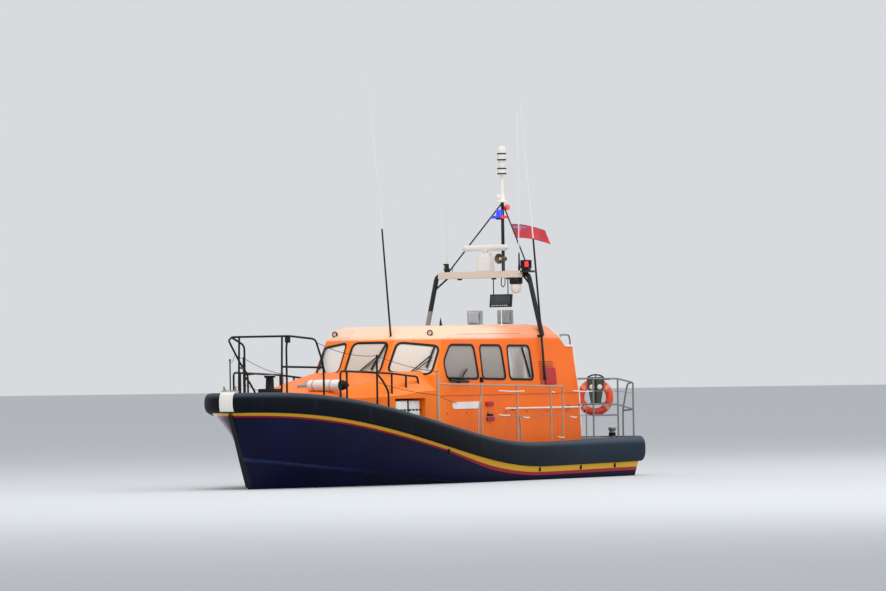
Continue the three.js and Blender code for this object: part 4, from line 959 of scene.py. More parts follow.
# Roof lamps
# Two round work lamps in black bezels look forward from the roof's front corners.
peach_lens = enamel("peach_lens", "f3cdb4", "e6b493", 0.25, 0.6)
BEZEL = [(0, -0.05), (0.045, -0.045), (0.062, -0.01), (0.066, 0.02), (0.052, 0.024), (0.05, 0.006),
         (0, 0.006)]
bezels, faces = [], []
for s in both:
    place, ahead = (0.62, s * 1.22, 3.24), (1, 0.12 * s, 0)
    bezels += [turned(BEZEL, place, ahead, 24), tubes(0.012, [(0.6, s * 1.22, 3.06), (0.6, s * 1.22, 3.19)])]
    faces.append(turned([(0, 0.006), (0.05, 0.006), (0.045, 0.012), (0, 0.016)], place, ahead, 24))
solid("roof_lamp_bezels", gathered(*bezels), black_paint)
solid("roof_lamp_lenses", gathered(*faces), peach_lens)

# Pulpit and grab rails
# Black-coated steel pipe: a pulpit stands over the bow with a jackstaff ahead of it,
# and a pair of grab rails runs beside the trunk. Each foot has a round bolted plate.


def foot_plate(x, y, z, radius=0.055):
    """A round plate under a post, with four bolt heads."""
    heads = [turned([(0, 0), (0.009, 0), (0.009, 0.008), (0.004, 0.011), (0, 0.011)],
                    (x + radius * 0.68 * math.cos(a), y + radius * 0.68 * math.sin(a), z + 0.009), steps=6)
             for a in (0.8, 2.4, 3.9, 5.5)]
    plate = [(0, 0), (radius, 0), (radius, 0.007), (radius - 0.003, 0.010), (0, 0.010)]
    return gathered(turned(plate, (x, y, z), steps=20), *heads)


def pulpit_side(s):
    return [
        [(5.37, 0, 3.2), (5.37, s * 0.73, 3.2), (4.95, s * 1.095, 3.13), (4.6, s * 1.04, 2.64),
         (4.44, s * 0.96, 2.4), (4.44, s * 0.96, 1.9)],
        [(5.375, s * 0.54, 3.2), (5.42, s * 0.54, deck_height(5.42, 0.54))],
        [(5.398, s * 0.54, 2.56), (4.525, s * 1.003, 2.53)],
        [(5.37, s * 0.73, 3.19), (5.2, s * 0.53, 3.02), (5.2, s * 0.53, deck_height(5.2, 0.53))],
    ]


PIPE = 0.022
solid("bow_pulpit", gathered(
    tubes(PIPE, *pulpit_side(1), *pulpit_side(-1)),
    *[foot_plate(x, s * y, deck_height(x, y)) for s in both for x, y in ((5.42, 0.54), (5.2, 0.53))]),
    black_paint, stands_for="pulpit")
JACK_X, JACK_FOOT, JACK_HEAD = 6.54, 2.085, 2.70
TRUCK = [(0, 0), (0.02, 0.004), (0.024, 0.02), (0.02, 0.036), (0, 0.044)]
solid("jackstaff", gathered(
    tubes(0.014, [(JACK_X, 0, JACK_FOOT), (JACK_X, 0, JACK_HEAD)]),
    turned(TRUCK, (JACK_X, 0, JACK_HEAD - 0.005), steps=14)), black_paint)
GRAB = [
    [(4.4, 1.35, 1.8), (4.4, 1.35, 2.45), (3.5, 1.4, 2.42), (2.5, 1.42, 2.38), (1.5, 1.44, 2.3),
     (1.46, 1.44, 2.02)],
    [(4.15, 1.35, 2.43), (4.15, 1.35, 1.8)],
    [(3.5, 1.69, 1.6), (3.5, 1.69, 2.78)],
    [(3.5, 1.69, 2.38), (3.3, 1.69, 2.25), (3.06, 1.69, 2.0), (3.06, 1.69, 1.55)],
    [(3.5, 1.4, 2.42), (3.5, 1.69, 2.4)],
    [(2.5, 1.42, 2.37), (2.5, 1.42, 1.95)],
    [(1.95, 1.43, 2.34), (1.95, 1.43, 1.98)],
]
GRAB_FEET = ((4.4, 1.35), (4.15, 1.35), (3.5, 1.69), (3.06, 1.69))
for side, name in SIDES:
    solid(f"{name}_trunk_rail", gathered(
        tubes(PIPE, *[[(x, side * y, z) for x, y, z in path] for path in GRAB]),
        *[foot_plate(x, side * y, deck_height(x, y)) for x, y in GRAB_FEET]), black_paint,
        stands_for=f"{name}_grab_rail")

# Guard rails
# Stainless pipe along the side decks and round the quarters, with bolted foot plates,
# braces at two posts, and thin wires between the posts.
stainless = alloy("stainless", "b79c88", 0.4, 0.6, (1, 1, 0.1))
grey_steel = alloy("grey_steel", "85878a", 0.4, 0.6, (1, 1, 0.1))
RAIL_Y = 1.99
GUARD_POSTS = ((-0.19, 2.105), (-1.68, 2.072), (-3.1, 2.04), (-3.6, 2.03))
FIRST_POST = [(0, 0), (0.034, 0), (0.034, 1.02), (0.021, 1.1), (0, 1.1)]


def on_deck(x, y=RAIL_Y):
    """The deck's height under the rail line."""
    return deck_height(x, y)


def guard_paths(s):
    y = s * RAIL_Y
    return [[(1.56, y, on_deck(1.56)), (1.56, y, 2.44)],
            [(1.56, y, 2.14), (-3.6, y, 2.03)],
            [(-0.19, y, 1.86), (-0.06, y, 1.5), (-0.02, y, on_deck(-0.02))],
            [(-1.68, y, 1.5), (-1.8, y, 1.3), (-1.86, y, on_deck(-1.86))],
            *[[(x, y, on_deck(x)), (x, y, top)] for x, top in GUARD_POSTS]]


def stern_paths(s):
    y, end, inner = s * RAIL_Y, s * 2.01, s * 1.74
    return [[(-4.843, s * 1.64, 2.19), (-4.925, y, 2.19), (-6.0, y, 2.175), (-6.64, end, 2.08),
             (-6.64, s * 1.87, 2.07), (-6.64, inner, 1.48), (-6.64, inner, on_deck(-6.64, 1.74))],
            [(-4.86, s * 1.662, 1.62), (-4.925, y, 1.62), (-6.0, y, 1.6), (-6.64, end, 1.48),
             (-6.64, inner, 1.46)],
            [(-4.925, y, 1.37), (-6.0, y, 1.37)],
            [(-6.64, end, on_deck(-6.64, 2.01)), (-6.64, end, 2.08)],
            [(-4.925, y, on_deck(-4.925)), (-4.925, y, 2.19)],
            [(-6.0, y, on_deck(-6.0)), (-6.0, y, 2.175)]]


def guard_wires(s):
    """Thin wires between the posts, with their end fittings, and a short gate post."""
    y = s * RAIL_Y
    gate = (-4.61, y, on_deck(-4.61))
    return gathered(
        tubes(0.007, [(-0.19, y, 1.41), (-3.6, y, 1.385)]),
        tubes(0.006, [(-3.6, y, 1.372), (-4.925, y, 1.37)],
              [(-4.925, y, 1.91), (-6.0, y, 1.9), (-6.64, s * 2.01, 1.84)],
              [(-3.6, y, 1.62), (-4.61, y, 1.63), (-4.925, y, 1.64)]),
        tubes(0.014, [gate, (-4.61, y, 1.68)]), foot_plate(*gate, 0.05),
        *[turned([(0, 0), (0.011, 0.004), (0.011, 0.05), (0, 0.055)], (x, y, z), (1, 0, 0), 8)
          for x, z in ((-4.66, 1.37), (-5.0, 1.91), (-5.95, 1.9), (-3.68, 1.62))])


def rail_feet(side, *places):
    return [foot_plate(x, side * (RAIL_Y - 0.006), on_deck(x), 0.05) for x in places]


for side, name in SIDES:
    first_post = turned(FIRST_POST, (1.56, side * RAIL_Y, on_deck(1.56) + 0.005))
    solid(f"{name}_side_rail", gathered(
        tubes(0.021, *guard_paths(side)), *rail_feet(side, 1.56, -0.19, -1.68, -3.1, -3.6), first_post),
        stainless, stands_for=f"{name}_guard_rail")
    solid(f"{name}_guard_wires", guard_wires(side), grey_steel)
    solid(f"{name}_quarter_rail", gathered(tubes(0.02, *stern_paths(side)), *rail_feet(side, -4.925, -6.0)),
          grey_steel, stands_for=f"{name}_stern_rail")

# Roof rails and ladder
# Slim painted grab rails follow the roof's edge, and a stainless ladder climbs the after
# bulkhead to the steering well and hooks forward over the roof.
roof_rail_paint = enamel("roof_rail_paint", "b06a48", "94583c", 0.4, 0.3)
ROOF_RAIL = {"outer": 1.47, "inner": 1.43, "foot": 3.1, "top": 3.2}
for side, name in SIDES:
    foot, top = [(side * ROOF_RAIL[y], ROOF_RAIL[z]) for y, z in (("inner", "foot"), ("outer", "top"))]
    solid(f"{name}_roof_grab", tubes(0.013, [(0.12, *foot), (0, *top), (-2.75, *top), (-2.75, *foot)],
                                     *[[(x, *foot), (x, *top)] for x in (-1.0, -1.9)]),
          roof_rail_paint, stands_for=f"{name}_roof_rail")
LADDER_Y = (0.93, 1.31)
RUNGS = (1.15, 1.45, 1.75, 2.05, 2.35, 2.65)


def ladder_x(z):
    return -5.24 + (z - 2.2) * 0.18 / 0.97 if z > 2.2 else -5.34 + (z - 0.7) * 0.1 / 1.5


stiles = [[(-4.64, y, 2.88), (-4.64, y, 3.17), (-5.06, y, 3.17), (-5.24, y, 2.2),
           (-5.34, y, on_deck(-5.34, y))] for y in LADDER_Y]
treads = [boxed((ladder_x(z) - 0.035, LADDER_Y[0], z - 0.006),
                (ladder_x(z) + 0.035, LADDER_Y[1], z + 0.012), 0.004) for z in RUNGS]
solid("roof_ladder", gathered(tubes(0.018, *stiles), *treads), grey_steel,
      stands_for="aft_ladder")

# Bow guard wires
# Slack steel wires run aft from the pulpit, over the tall posts beside the trunk, to
# the first posts of the guard rails, with one more at half height.


def slack(first, last, drop, steps=12):
    """Points along a wire that hangs between two places."""
    first, last = Vector(first), Vector(last)
    return [first.lerp(last, t / steps) - Vector((0, 0, drop * 4 * (t / steps) * (1 - t / steps)))
            for t in range(steps + 1)]


WIRE = 0.006
# each wire's two ends, to port, and how far it sags
BOW_WIRES = [
    ((4.93, 1.085, 3.07), (3.5, 1.69, 2.76), 0.1),
    ((3.5, 1.69, 2.76), (1.56, RAIL_Y, 2.40), 0.05),
    ((3.5, 1.69, 2.2), (1.56, RAIL_Y, 1.9), 0.04),
    ((1.56, RAIL_Y, 1.9), (0.3, 1.67, 1.72), 0.02),
]
solid("bow_guard_wires", gathered(*[
    tubes(WIRE, slack((x0, s * y0, z0), (x1, s * y1, z1), drop), reach=0.001)
    for s in both for (x0, y0, z0), (x1, y1, z1), drop in BOW_WIRES]), black_paint)
solid("jackstaff_chain", tubes(WIRE, slack((JACK_X, 0, 2.69), (4.76, -1.065, 2.86), 0.09), reach=0.001),
      black_paint)

# Small deck gear
# Black scuppers open in the bands under the fender, and pale lashings hold loose lines
# along the guard rails. A black lamp hangs on a post each side, and one on the pulpit.
# height, fore end, after end
LASHED = [(1.96, -0.89, -1.97), (1.92, -3.13, -3.24), (1.92, -4.05, -4.87), (1.44, -0.91, -1.33),
          (1.38, -1.91, -2.16), (1.357, -3.9, -4.16), (0.92, -3.38, -3.63)]
solid("rail_lashings", gathered(*[
    tubes(0.012, slack((fore, s * 2.0, z + 0.01), (aft, s * 2.0, z - 0.01), 0.012, 6), reach=0.001)
    for s in both for z, fore, aft in LASHED]), pole_white)
SCUPPERS = ((1.24, 2.045, 0.69), (-2.44, 2.08, 0.235), (-4.19, 2.08, 0.24), (-5.67, 2.08, 0.25))
solid("scuppers", gathered(*[
    boxed((x - 0.025, s * y - 0.015, z - 0.05), (x + 0.025, s * y + 0.015, z + 0.05), 0.008)
    for s in both for x, y, z in SCUPPERS]), black_rubber)
solid("rail_lamps", gathered(*[
    boxed((-0.26, s * RAIL_Y - 0.035, 2.15), (-0.18, s * RAIL_Y + 0.035, 2.27), 0.012) for s in both],
    boxed((5.32, 0.62, 3.06), (5.40, 0.72, 3.18), 0.012)), black_paint)

# Gantry
# A cream aluminium beam on two raked legs spans the steering well. The legs and
# braces are black, and a shelf aft of the beam carries the mast.


def two_tone(name, upper, lower, level, reach):
    """Cream above a level and within a reach of the middle, black beyond them."""
    paint = Finish(name)
    grime = paint.noise(14.0, 5.0)
    streak = paint.noise(9.0, 4.0, (1, 1, 0.1))
    light = (paint.z > level) * (abs(paint.y) < reach)
    starboard_foot = (paint.z < 3.74) * (paint.y < 0)
    pedestal = (paint.z > 4.62) * (abs(paint.y) < 0.2) * (paint.x > -3.9)
    colour = paint.mix(grime.between(0.55, 0.85) * 0.3, ink(upper), ink("a69e92"))
    colour = paint.mix(streak.between(0.6, 0.85) * 0.3, colour, ink("8d7c68"))
    colour = paint.mix(light, ink(lower), colour)
    colour = paint.mix(starboard_foot, colour, ink("8c8e92"))
    colour = paint.mix(pedestal, colour, ink("e4e2dd"))
    return paint.done(Base_Color=colour, Roughness=0.35 + grime * 0.15, Normal=paint.bump(grime, 0.001, 0.3))


gantry_paint = two_tone("gantry_paint", "d8cbbb", "141518", 4.452, 1.094)
kept("radar_gantry", "gantry", gantry_paint, 0.012, 2, 35)
BEAM_TOP = 4.6
BEAM_SEAT = 4.6003
BEAM_FOOT = 4.45
solid("beam_brackets", gathered(
    *[boxed((-3.51, y - 0.045, BEAM_FOOT - 0.035), (-3.435, y + 0.045, BEAM_FOOT), 0.008)
      for y in (0.342, 0.717, -0.55)],
    *[boxed((-3.64, s * 1.06, 4.455), (-3.46, s * 1.093, 4.595), 0.01) for s in both]),
      black_paint)
CABLE = [(-3.47, 0.545, BEAM_FOOT), (-3.46, 0.53, 4.30), (-3.45, 0.585, 4.235), (-3.46, 0.64, 4.30),
         (-3.47, 0.63, BEAM_FOOT)]
solid("beam_cable", tubes(0.011, CABLE, reach=0.06), black_rubber)
STUB = [(0, 3.40), (0.034, 3.40), (0.024, 3.48), (0.01, 3.55), (0.006, 3.58), (0, 3.58)]
solid("stub_aerial", gathered(
    turned(STUB, (-2.0, -0.145, 0), steps=14),
    tubes(0.007, [(-3.55, -0.78, BEAM_TOP), (-3.55, -0.78, 4.72)])), black_paint)

# Side lights, camera and loudhailer
# A screened red lamp to port and a green one to starboard stand on the beam, beside a
# horn on a stalk. A domed camera in a dark collar hangs beneath.


def lamp_lens(name, colour):
    """A ribbed coloured lens."""
    tint = Finish(name)
    ribs = tint.noise(8.0, 1.0, (1, 1, 30))
    return tint.done(Base_Color=ink(colour), Roughness=0.12 + ribs * 0.1, Coat_Weight=0.8,
                     Emission_Color=ink(colour), Emission_Strength=0.35)


def side_light(low, high, notch, lens_at, radius, finish, name):
    """A screened lamp: a case cut away at one corner round an upright lens."""
    (x0, y0, z0), (x1, y1, z1) = low, high
    case = gathered(boxed((x0, y0, z0 + 0.045), high, 0.008),
                    boxed((x0 + 0.02, y0 + 0.015, z0), (x1 - 0.02, y1 - 0.015, z0 + 0.06), 0.004))
    solid(f"{name}_light_case", carved(case, boxed(*notch)), black_paint,
          stands_for=f"{name}_side_light", broad=True)
    foot, head = notch[0][2] - 0.002, notch[1][2] + 0.002
    rim = radius * 1.08
    profile = [(0, foot), (radius, foot), (rim, foot + 0.012), (rim, head - 0.012), (radius, head), (0, head)]
    solid(f"{name}_light_lens", turned(profile, (*lens_at, 0), steps=24), finish)


red_lens = lamp_lens("red_lens", "ff2a22")
green_lens = lamp_lens("green_lens", "0b8f45")
side_light((-3.54, 1.098, BEAM_SEAT), (-3.36, 1.288, 4.83), ((-3.47, 1.175, 4.675), (-3.2, 1.4, 4.80)),
           (-3.415, 1.225), 0.045, red_lens, "port")
side_light((-3.55, -0.96, BEAM_SEAT), (-3.44, -0.87, 4.79), ((-3.50, -1.1, 4.665), (-3.3, -0.905, 4.765)),
           (-3.472, -0.93), 0.026, green_lens, "starboard")
CAMERA_AT = (-3.55, 0.868, 0)
COLLAR = [(0, 4.4497), (0.14, 4.4497), (0.146, 4.43), (0.146, 4.33), (0.13, 4.305), (0, 4.305)]
DOME = [(0, 4.31), (0.118, 4.31), (0.12, 4.24), (0.114, 4.17), (0.092, 4.122), (0.05, 4.103), (0, 4.103)]
solid("camera_collar", turned(COLLAR, CAMERA_AT), black_paint)
solid("camera_dome", turned(DOME, CAMERA_AT), white_enamel, stands_for="dome_camera")
cream_paint = enamel("cream_paint", "e2d8ca", "cbbfae", 0.35, 0.4)
horn_bronze = alloy("horn_bronze", "5b5a3f", 0.4, 0.6)
HORN_AT = (-3.4, 0.572, 4.87)
FORWARD = (1, 0, 0)
HORN = [(0, -0.19), (0.05, -0.19), (0.055, -0.12), (0.04, -0.05), (0.055, 0.0), (0.09, 0.05), (0.115, 0.075),
        (0.113, 0.08), (0.085, 0.055), (0.05, 0.0), (0.03, -0.02)]
CONE = [(0, -0.02), (0.045, -0.015), (0.04, 0.02), (0.022, 0.045), (0, 0.05)]
solid("hailer_horn", gathered(
    turned(HORN, HORN_AT, FORWARD),
    tubes(0.018, [(-3.52, HORN_AT[1], BEAM_TOP), (-3.52, HORN_AT[1], 4.85)])),
    horn_bronze, stands_for="loudhailer")
solid("hailer_cone", turned(CONE, HORN_AT, FORWARD), cream_paint)

# Radar
# A white open-array scanner turns on a stepped pedestal box.
HUB = [(0, 5.0153), (0.055, 5.0153), (0.06, 5.04), (0.085, 5.06), (0.085, 5.085), (0, 5.085)]
solid("scanner_bar", gathered(boxed((-3.748, -0.572, 5.055), (-3.632, 0.572, 5.19), 0.04, 4),
                              turned(HUB, (-3.69, 0, 0))),
      white_enamel, body="radar", stands_for="radar_scanner")
solid("radar_seams", boxed((-3.7485, -0.5725, 5.1), (-3.6315, 0.5725, 5.105), 0.002), black_rubber,
      body="radar")

# Mast and lights
# A black pole with a white cone carries a stack of white lamps; an amber lamp and the
# blue beacon sit on brackets below, and two black stays brace it to the beam.
MAST_X = -4.44
MAST_AT = (MAST_X, 0, 0)
MAST = [(0, BEAM_SEAT - 0.04), (0.09, BEAM_SEAT - 0.04), (0.09, 4.6), (0.038, 4.6), (0.036, 6.15),
        (0.125, 6.15), (0.122, 6.18), (0.07, 6.2), (0.045, 6.33), (0.036, 6.36), (0.036, 6.76), (0, 6.76)]
MAST_BULB = [(0, 6.15), (0.03, 6.16), (0.03, 6.22), (0.048, 6.24), (0.05, 6.275), (0.04, 6.31), (0.02, 6.327),
             (0, 6.33)]
STAY_SOCKET = [(0, 0), (0.03, 0), (0.03, 0.09), (0, 0.09)]
LAMPS = [(0, 6.7603), (0.1, 6.7603), (0.1, 6.9), (0.07, 6.92), (0.07, 7.06), (0.1, 7.08), (0.1, 7.24),
         (0.1, 7.27), (0.095, 7.34), (0.07, 7.395), (0, 7.4)]
STAY_TOP = (MAST_X, 0, 6.14)
STAY_FEET = [(-3.625, y, BEAM_SEAT) for y in (-0.935, 1.165)]
mast_paint = two_tone("mast_paint", "e9e5dc", "101114", 6.145, 0.2)
solid("signal_mast", gathered(
    turned(MAST, MAST_AT), turned(MAST_BULB, (MAST_X + 0.03, -0.085, 0), steps=18),
    tubes(0.017, *[[foot, STAY_TOP] for foot in STAY_FEET]),
    *[turned(STAY_SOCKET, foot, steps=12) for foot in STAY_FEET]),
      mast_paint, stands_for="mast")
solid("white_lamps", turned(LAMPS, MAST_AT), white_enamel, stands_for="masthead_lights")
solid("lamp_bands", gathered(*[
    turned([(0.071, z), (0.103, z), (0.103, z + 0.03), (0.071, z + 0.03), (0.071, z)], MAST_AT)
    for z in (6.77, 6.885, 7.08, 7.215)]), black_rubber)
blue_lens = lamp_lens("blue_lens", "1a3cf2")
amber_lens = lamp_lens("amber_lens", "d8491a")
BEACON_X = -4.3
BEACON_AT = (BEACON_X, 0, 0)
BEACON = [(0, 5.79), (0.073, 5.79), (0.075, 5.80), (0.075, 5.955), (0.06, 5.985), (0, 5.99)]
AMBER = [(0, 0), (0.05, 0), (0.055, 0.02), (0.055, 0.09), (0.04, 0.115), (0, 0.12)]
solid("beacon_lens", turned(BEACON, BEACON_AT), blue_lens, stands_for="blue_beacon")
solid("beacon_bracket", gathered(
    turned([(0, 5.76), (0.074, 5.76), (0.074, 5.795), (0, 5.795)], BEACON_AT),
    boxed((MAST_X + 0.03, -0.02, 5.762), (BEACON_X, 0.02, 5.78), 0.003)), black_paint)
for name, y0, y1, top, finish, colour in (("beacon_bar", -0.20, 0.05, 5.85, blue_lens, "blue"),
                                          ("beacon_bar_end", 0.055, 0.235, 5.845, red_lens, "red")):
    solid(name, boxed((BEACON_X - 0.045, y0, 5.782), (BEACON_X + 0.045, y1, top), 0.02, 3), finish)
solid("amber_lamp", gathered(
    turned(AMBER, (MAST_X, 0.13, 5.98)),
    boxed((MAST_X - 0.02, 0.03, 5.965), (MAST_X + 0.02, 0.13, 5.982), 0.003)), amber_lens)

# Whip aerials
# Long white glass-fibre whips taper up out of thick black sleeves; the port one is
# steadied by two brackets on the house side.
# foot, where the sleeve ends, tip, and the radii of sleeve and whip
WHIPS = [
    ((0.96, 0.44, 3.083), (1.18, 0.39, 5.5), (1.47, 0.25, 8.74), 0.021, 0.015),
    ((-3.4, 1.67, 2.18), (-3.38, 1.43, 5.3), (-3.34, 1.18, 8.3), 0.024, 0.015),
    ((-3.64, 0.9, BEAM_SEAT), (-3.64, 0.9, 5.0), (-3.64, 0.91, 8.11), 0.02, 0.012),
]
sleeves, rods = [], []
for foot, change, tip, sleeve, rod in WHIPS:
    lower, upper = Vector(change) - Vector(foot), Vector(tip) - Vector(change)
    low, high = lower.length, upper.length
    profile = [(0, 0), (sleeve * 1.3, 0), (sleeve * 1.3, 0.1), (sleeve, 0.13), (sleeve * 0.85, low - 0.05),
               (sleeve * 0.6, low), (0, low)]
    sleeves.append(turned(profile, foot, lower, 12))
    rods.append(turned([(0, 0), (rod, 0), (rod * 0.5, high - 0.01), (0, high)], change, upper, 8))
clips = [boxed((-3.44, 1.61, 2.18), (-3.36, 1.68, 2.26), 0.008),
         boxed((-3.43, 1.5, 3.12), (-3.37, 1.62, 3.18), 0.008)]
solid("whip_sleeves", gathered(*sleeves, *clips), black_paint,
      stands_for="fore_whip port_whip mast_whip")
solid("whip_rods", gathered(*rods), white_enamel)

# Ensign
# A red sewn flag streams from a halyard beside the stay, hemmed at its edges, with a
# faded pale and blue patch in its upper corner.
HOIST, FLY = 0.43, 0.8
HOIST_ABOVE_FOOT = 1.05
FLY_DROP = 0.21
DOWNWIND = Vector((-0.7, 0.7, 0)).normalized()
stay_foot = Vector(STAY_FEET[1])
stay = Vector(STAY_TOP) - stay_foot
stay_up = stay.normalized()
fly_way = (Vector((-0.7, 0.7, 0)) + 0.105 * stay_up).normalized()
face_way = Vector((0.7, 0.7, 0)).normalized()
hoist_top = stay_foot + stay * (HOIST_ABOVE_FOOT / stay.z) + fly_way * 0.006


def flag_spot(t, down):
    """A place on the flag: t along its fly, down from its upper edge to its lower."""
    ripple = 0.038 * math.sin(5.5 * t) + 0.006 * math.sin(17 * t + 5 * down) * t
    spot = hoist_top + fly_way * (FLY * t) + face_way * ripple - stay_up * (HOIST * down)
    return spot - Vector((0, 0, FLY_DROP * t ** 1.6))


ensign_cloth = Finish("ensign_cloth")
weave = ensign_cloth.node("ShaderNodeTexWave", {"wave_type": "BANDS", "bands_direction": "Z"},
                          {"Vector": ensign_cloth.place, "Scale": 180.0, "Distortion": 1.0})
folds = ensign_cloth.noise(5.0, 4.0)
cloth_spot = ensign_cloth.node("ShaderNodeUVMap", {"uv_map": "cloth"})
along = ensign_cloth.node("ShaderNodeSeparateXYZ", None, {0: cloth_spot}, 0)
below = ensign_cloth.node("ShaderNodeSeparateXYZ", None, {0: cloth_spot}, 1)
corner = (along < 0.42) * (below < 0.5)
bars = (abs(along - 0.21) < 0.035) + (abs(below - 0.25) < 0.05)
red = ensign_cloth.mix(folds.between(0.35, 0.75), ink("c41f2e"), ink("a01524"))
patch = ensign_cloth.mix(bars.between(0.2, 0.8) * 0.55, ink("44406e"), ink("c9a7ac"))
ensign_red = ensign_cloth.done(
    Base_Color=ensign_cloth.mix(corner * 0.6, red, patch), Roughness=0.78 + folds * 0.1,
    Sheen_Weight=0.2, Normal=ensign_cloth.bump(weave * 0.4 + folds * 0.6, 0.002, 0.5))
COLUMNS, ROWS = 40, 20
flag_mesh = skinned([[flag_spot(i / COLUMNS, j / ROWS) for j in range(ROWS + 1)]
                     for i in range(COLUMNS + 1)], loop=False)
cloth_map = flag_mesh.loops.layers.uv.new("cloth")
for face in flag_mesh.faces:
    for corner_loop in face.loops:
        away = corner_loop.vert.co - hoist_top
        t = clamped(away.dot(DOWNWIND) / (FLY * fly_way.dot(DOWNWIND)))
        lowered = away - fly_way * (FLY * t) + Vector((0, 0, FLY_DROP * t ** 1.6))
        corner_loop[cloth_map].uv = (t, clamped(-lowered.dot(stay_up) / HOIST))
flag_piece = solid("ensign_sheet", flag_mesh, ensign_red, stands_for="flag", crisp=80)
flag_skin = flag_piece.modifiers.new("cloth", "SOLIDIFY")
flag_skin.thickness = 0.0015
flag_skin.offset = 0
hem_paths = [[flag_spot(0.004, j / 10) for j in range(11)], [flag_spot(0.995, j / 10) for j in range(11)],
             [flag_spot(i / 20, 0.008) for i in range(21)], [flag_spot(i / 20, 0.992) for i in range(21)]]
hem = solid("ensign_hem", tubes(0.0035, *hem_paths, reach=0.001), ensign_red)
toggle_low, toggle_high = hoist_top - stay_up * (HOIST + 0.06), hoist_top + stay_up * 0.08
solid("ensign_halyard", tubes(0.005, [toggle_low, toggle_high]), pole_white)

# Upper steering position
# A white moulded well is let into the roof, its coaming turned out over the edge. A
# console stands at its fore end and two high-backed seats at its after end.
WELL = {"fore": -2.56, "aft": -3.88, "foot": 2.33, "wall": 0.02}
gelcoat = enamel("gelcoat", "dfe0dd", "c9cbc9", 0.28, 0.25)
kept("steering_well", "upper_cockpit", gelcoat, 0.008, 2, 35)
well_floor = sanded("well_floor", "777c82", "868b90")
floor_top = WELL["foot"] + WELL["wall"]
solid("well_floor_mat", boxed((WELL["aft"] + 0.03, -0.85, floor_top - 0.002),
                              (WELL["fore"] - 0.03, 0.85, floor_top + 0.0002), 0), well_floor)
CONSOLE_FORE = -2.5803
console_grey = moulded("console_grey", "bdc0c2", "a9adb0", 0.45, 90.0)
kept("steering_console", "upper_console", console_grey, 0.012, 3, 20)


def sloping(low, high, turned_aft=True):
    """A panel between two points of its middle line, as a place for (u, v, h): u to
    port, v up the slope and h out of it, facing aft or else forward."""
    low, high = Vector(low), Vector(high)
    up = (high - low).normalized()
    out = Vector((-up.z, 0, up.x)) if turned_aft else Vector((up.z, 0, -up.x))
    return lambda u, v, h: low + up * v + Vector((0, u, 0)) + out * h


console_face = sloping((CONSOLE_FORE - 0.26, 0, 3.24), (CONSOLE_FORE - 0.09, 0, 3.415))
console_out = console_face(0, 0, 1) - console_face(0, 0, 0)
dial_black = moulded("dial_black", "101216", "1a1d22", 0.3, 40.0)
screen_navy = Finish("screen_navy")
glow = screen_navy.noise(3.0, 2.0)
screen_glass = screen_navy.done(
    Base_Color=screen_navy.mix(glow.between(0.4, 0.7), ink("0b1220"), ink("1b2638")),
    Roughness=0.08 + glow * 0.05, Coat_Weight=1.0, Coat_Roughness=0.02)
solid("console_screens", gathered(*[fitted(console_face, oblong(inner, outer, 0.03, 0.2), 0.006, 0.015)
                                    for inner, outer in ((0.13, 0.33), (0.56, 0.76))]),
      screen_glass)
DIAL = [(0, 0), (0.032, 0), (0.032, 0.01), (0.026, 0.012), (0, 0.012)]
solid("console_dials", gathered(*[turned(DIAL, console_face(u, v, -0.001), console_out, 20)
                                  for v in (0.15, 0.07) for u in (0.39, 0.47)]), dial_black)
WHEEL_AT = Vector((-2.86, 0.24, 3.18))
WHEEL_REACH = 0.145
rim = [WHEEL_AT + Vector((-0.025 + 0.05 * math.sin(a), WHEEL_REACH * math.cos(a), WHEEL_REACH * math.sin(a)))
       for a in [math.tau * i / 36 for i in range(36)]]
solid("steering_wheel", gathered(
    tubes(0.013, rim, closed=True, sides=4), *[tubes(0.008, [WHEEL_AT, rim[i]]) for i in (3, 15, 27)],
    turned([(0, -0.03), (0.035, -0.03), (0.03, 0.0), (0, 0.005)], WHEEL_AT, (-1, 0, 0.3), 16),
    tubes(0.014, [WHEEL_AT, (CONSOLE_FORE - 0.25, 0.24, 3.16)])), black_paint)
KNOB = [(0, -0.02), (0.017, -0.014), (0.019, 0.01), (0.012, 0.026), (0, 0.028)]
levers = [fitted(console_face, oblong(0.8, 0.6, -0.001, 0.028), 0.03, 0.012)]
for u in (0.65, 0.72):
    levers += [tubes(0.009, [console_face(u, 0.01, 0.01), console_face(u, -0.02, 0.10)]),
               turned(KNOB, console_face(u, -0.02, 0.1), (-0.5, 0, 1), 14)]
solid("throttles", gathered(*levers), black_paint)
SOCKET = [(0, 0), (0.028, 0), (0.028, 0.03), (0.014, 0.045), (0, 0.045)]
sockets = []
for y in (0.2, 1.1):
    sockets += [tubes(0.011, [(-2.53, y, 3.40), (-2.53, y, 3.78)]),
                turned(SOCKET, (-2.53, y, 3.385), steps=14)]
solid("console_whip_sockets", gathered(*sockets), pole_white)


def spans(low, high):
    """A box's middle, its half sizes, and its two wide axes and its thin one."""
    low, high = Vector(low), Vector(high)
    half = (high - low) / 2
    thin = min(range(3), key=lambda axis: half[axis])
    return (low + high) / 2, half, *[axis for axis in range(3) if axis != thin], thin


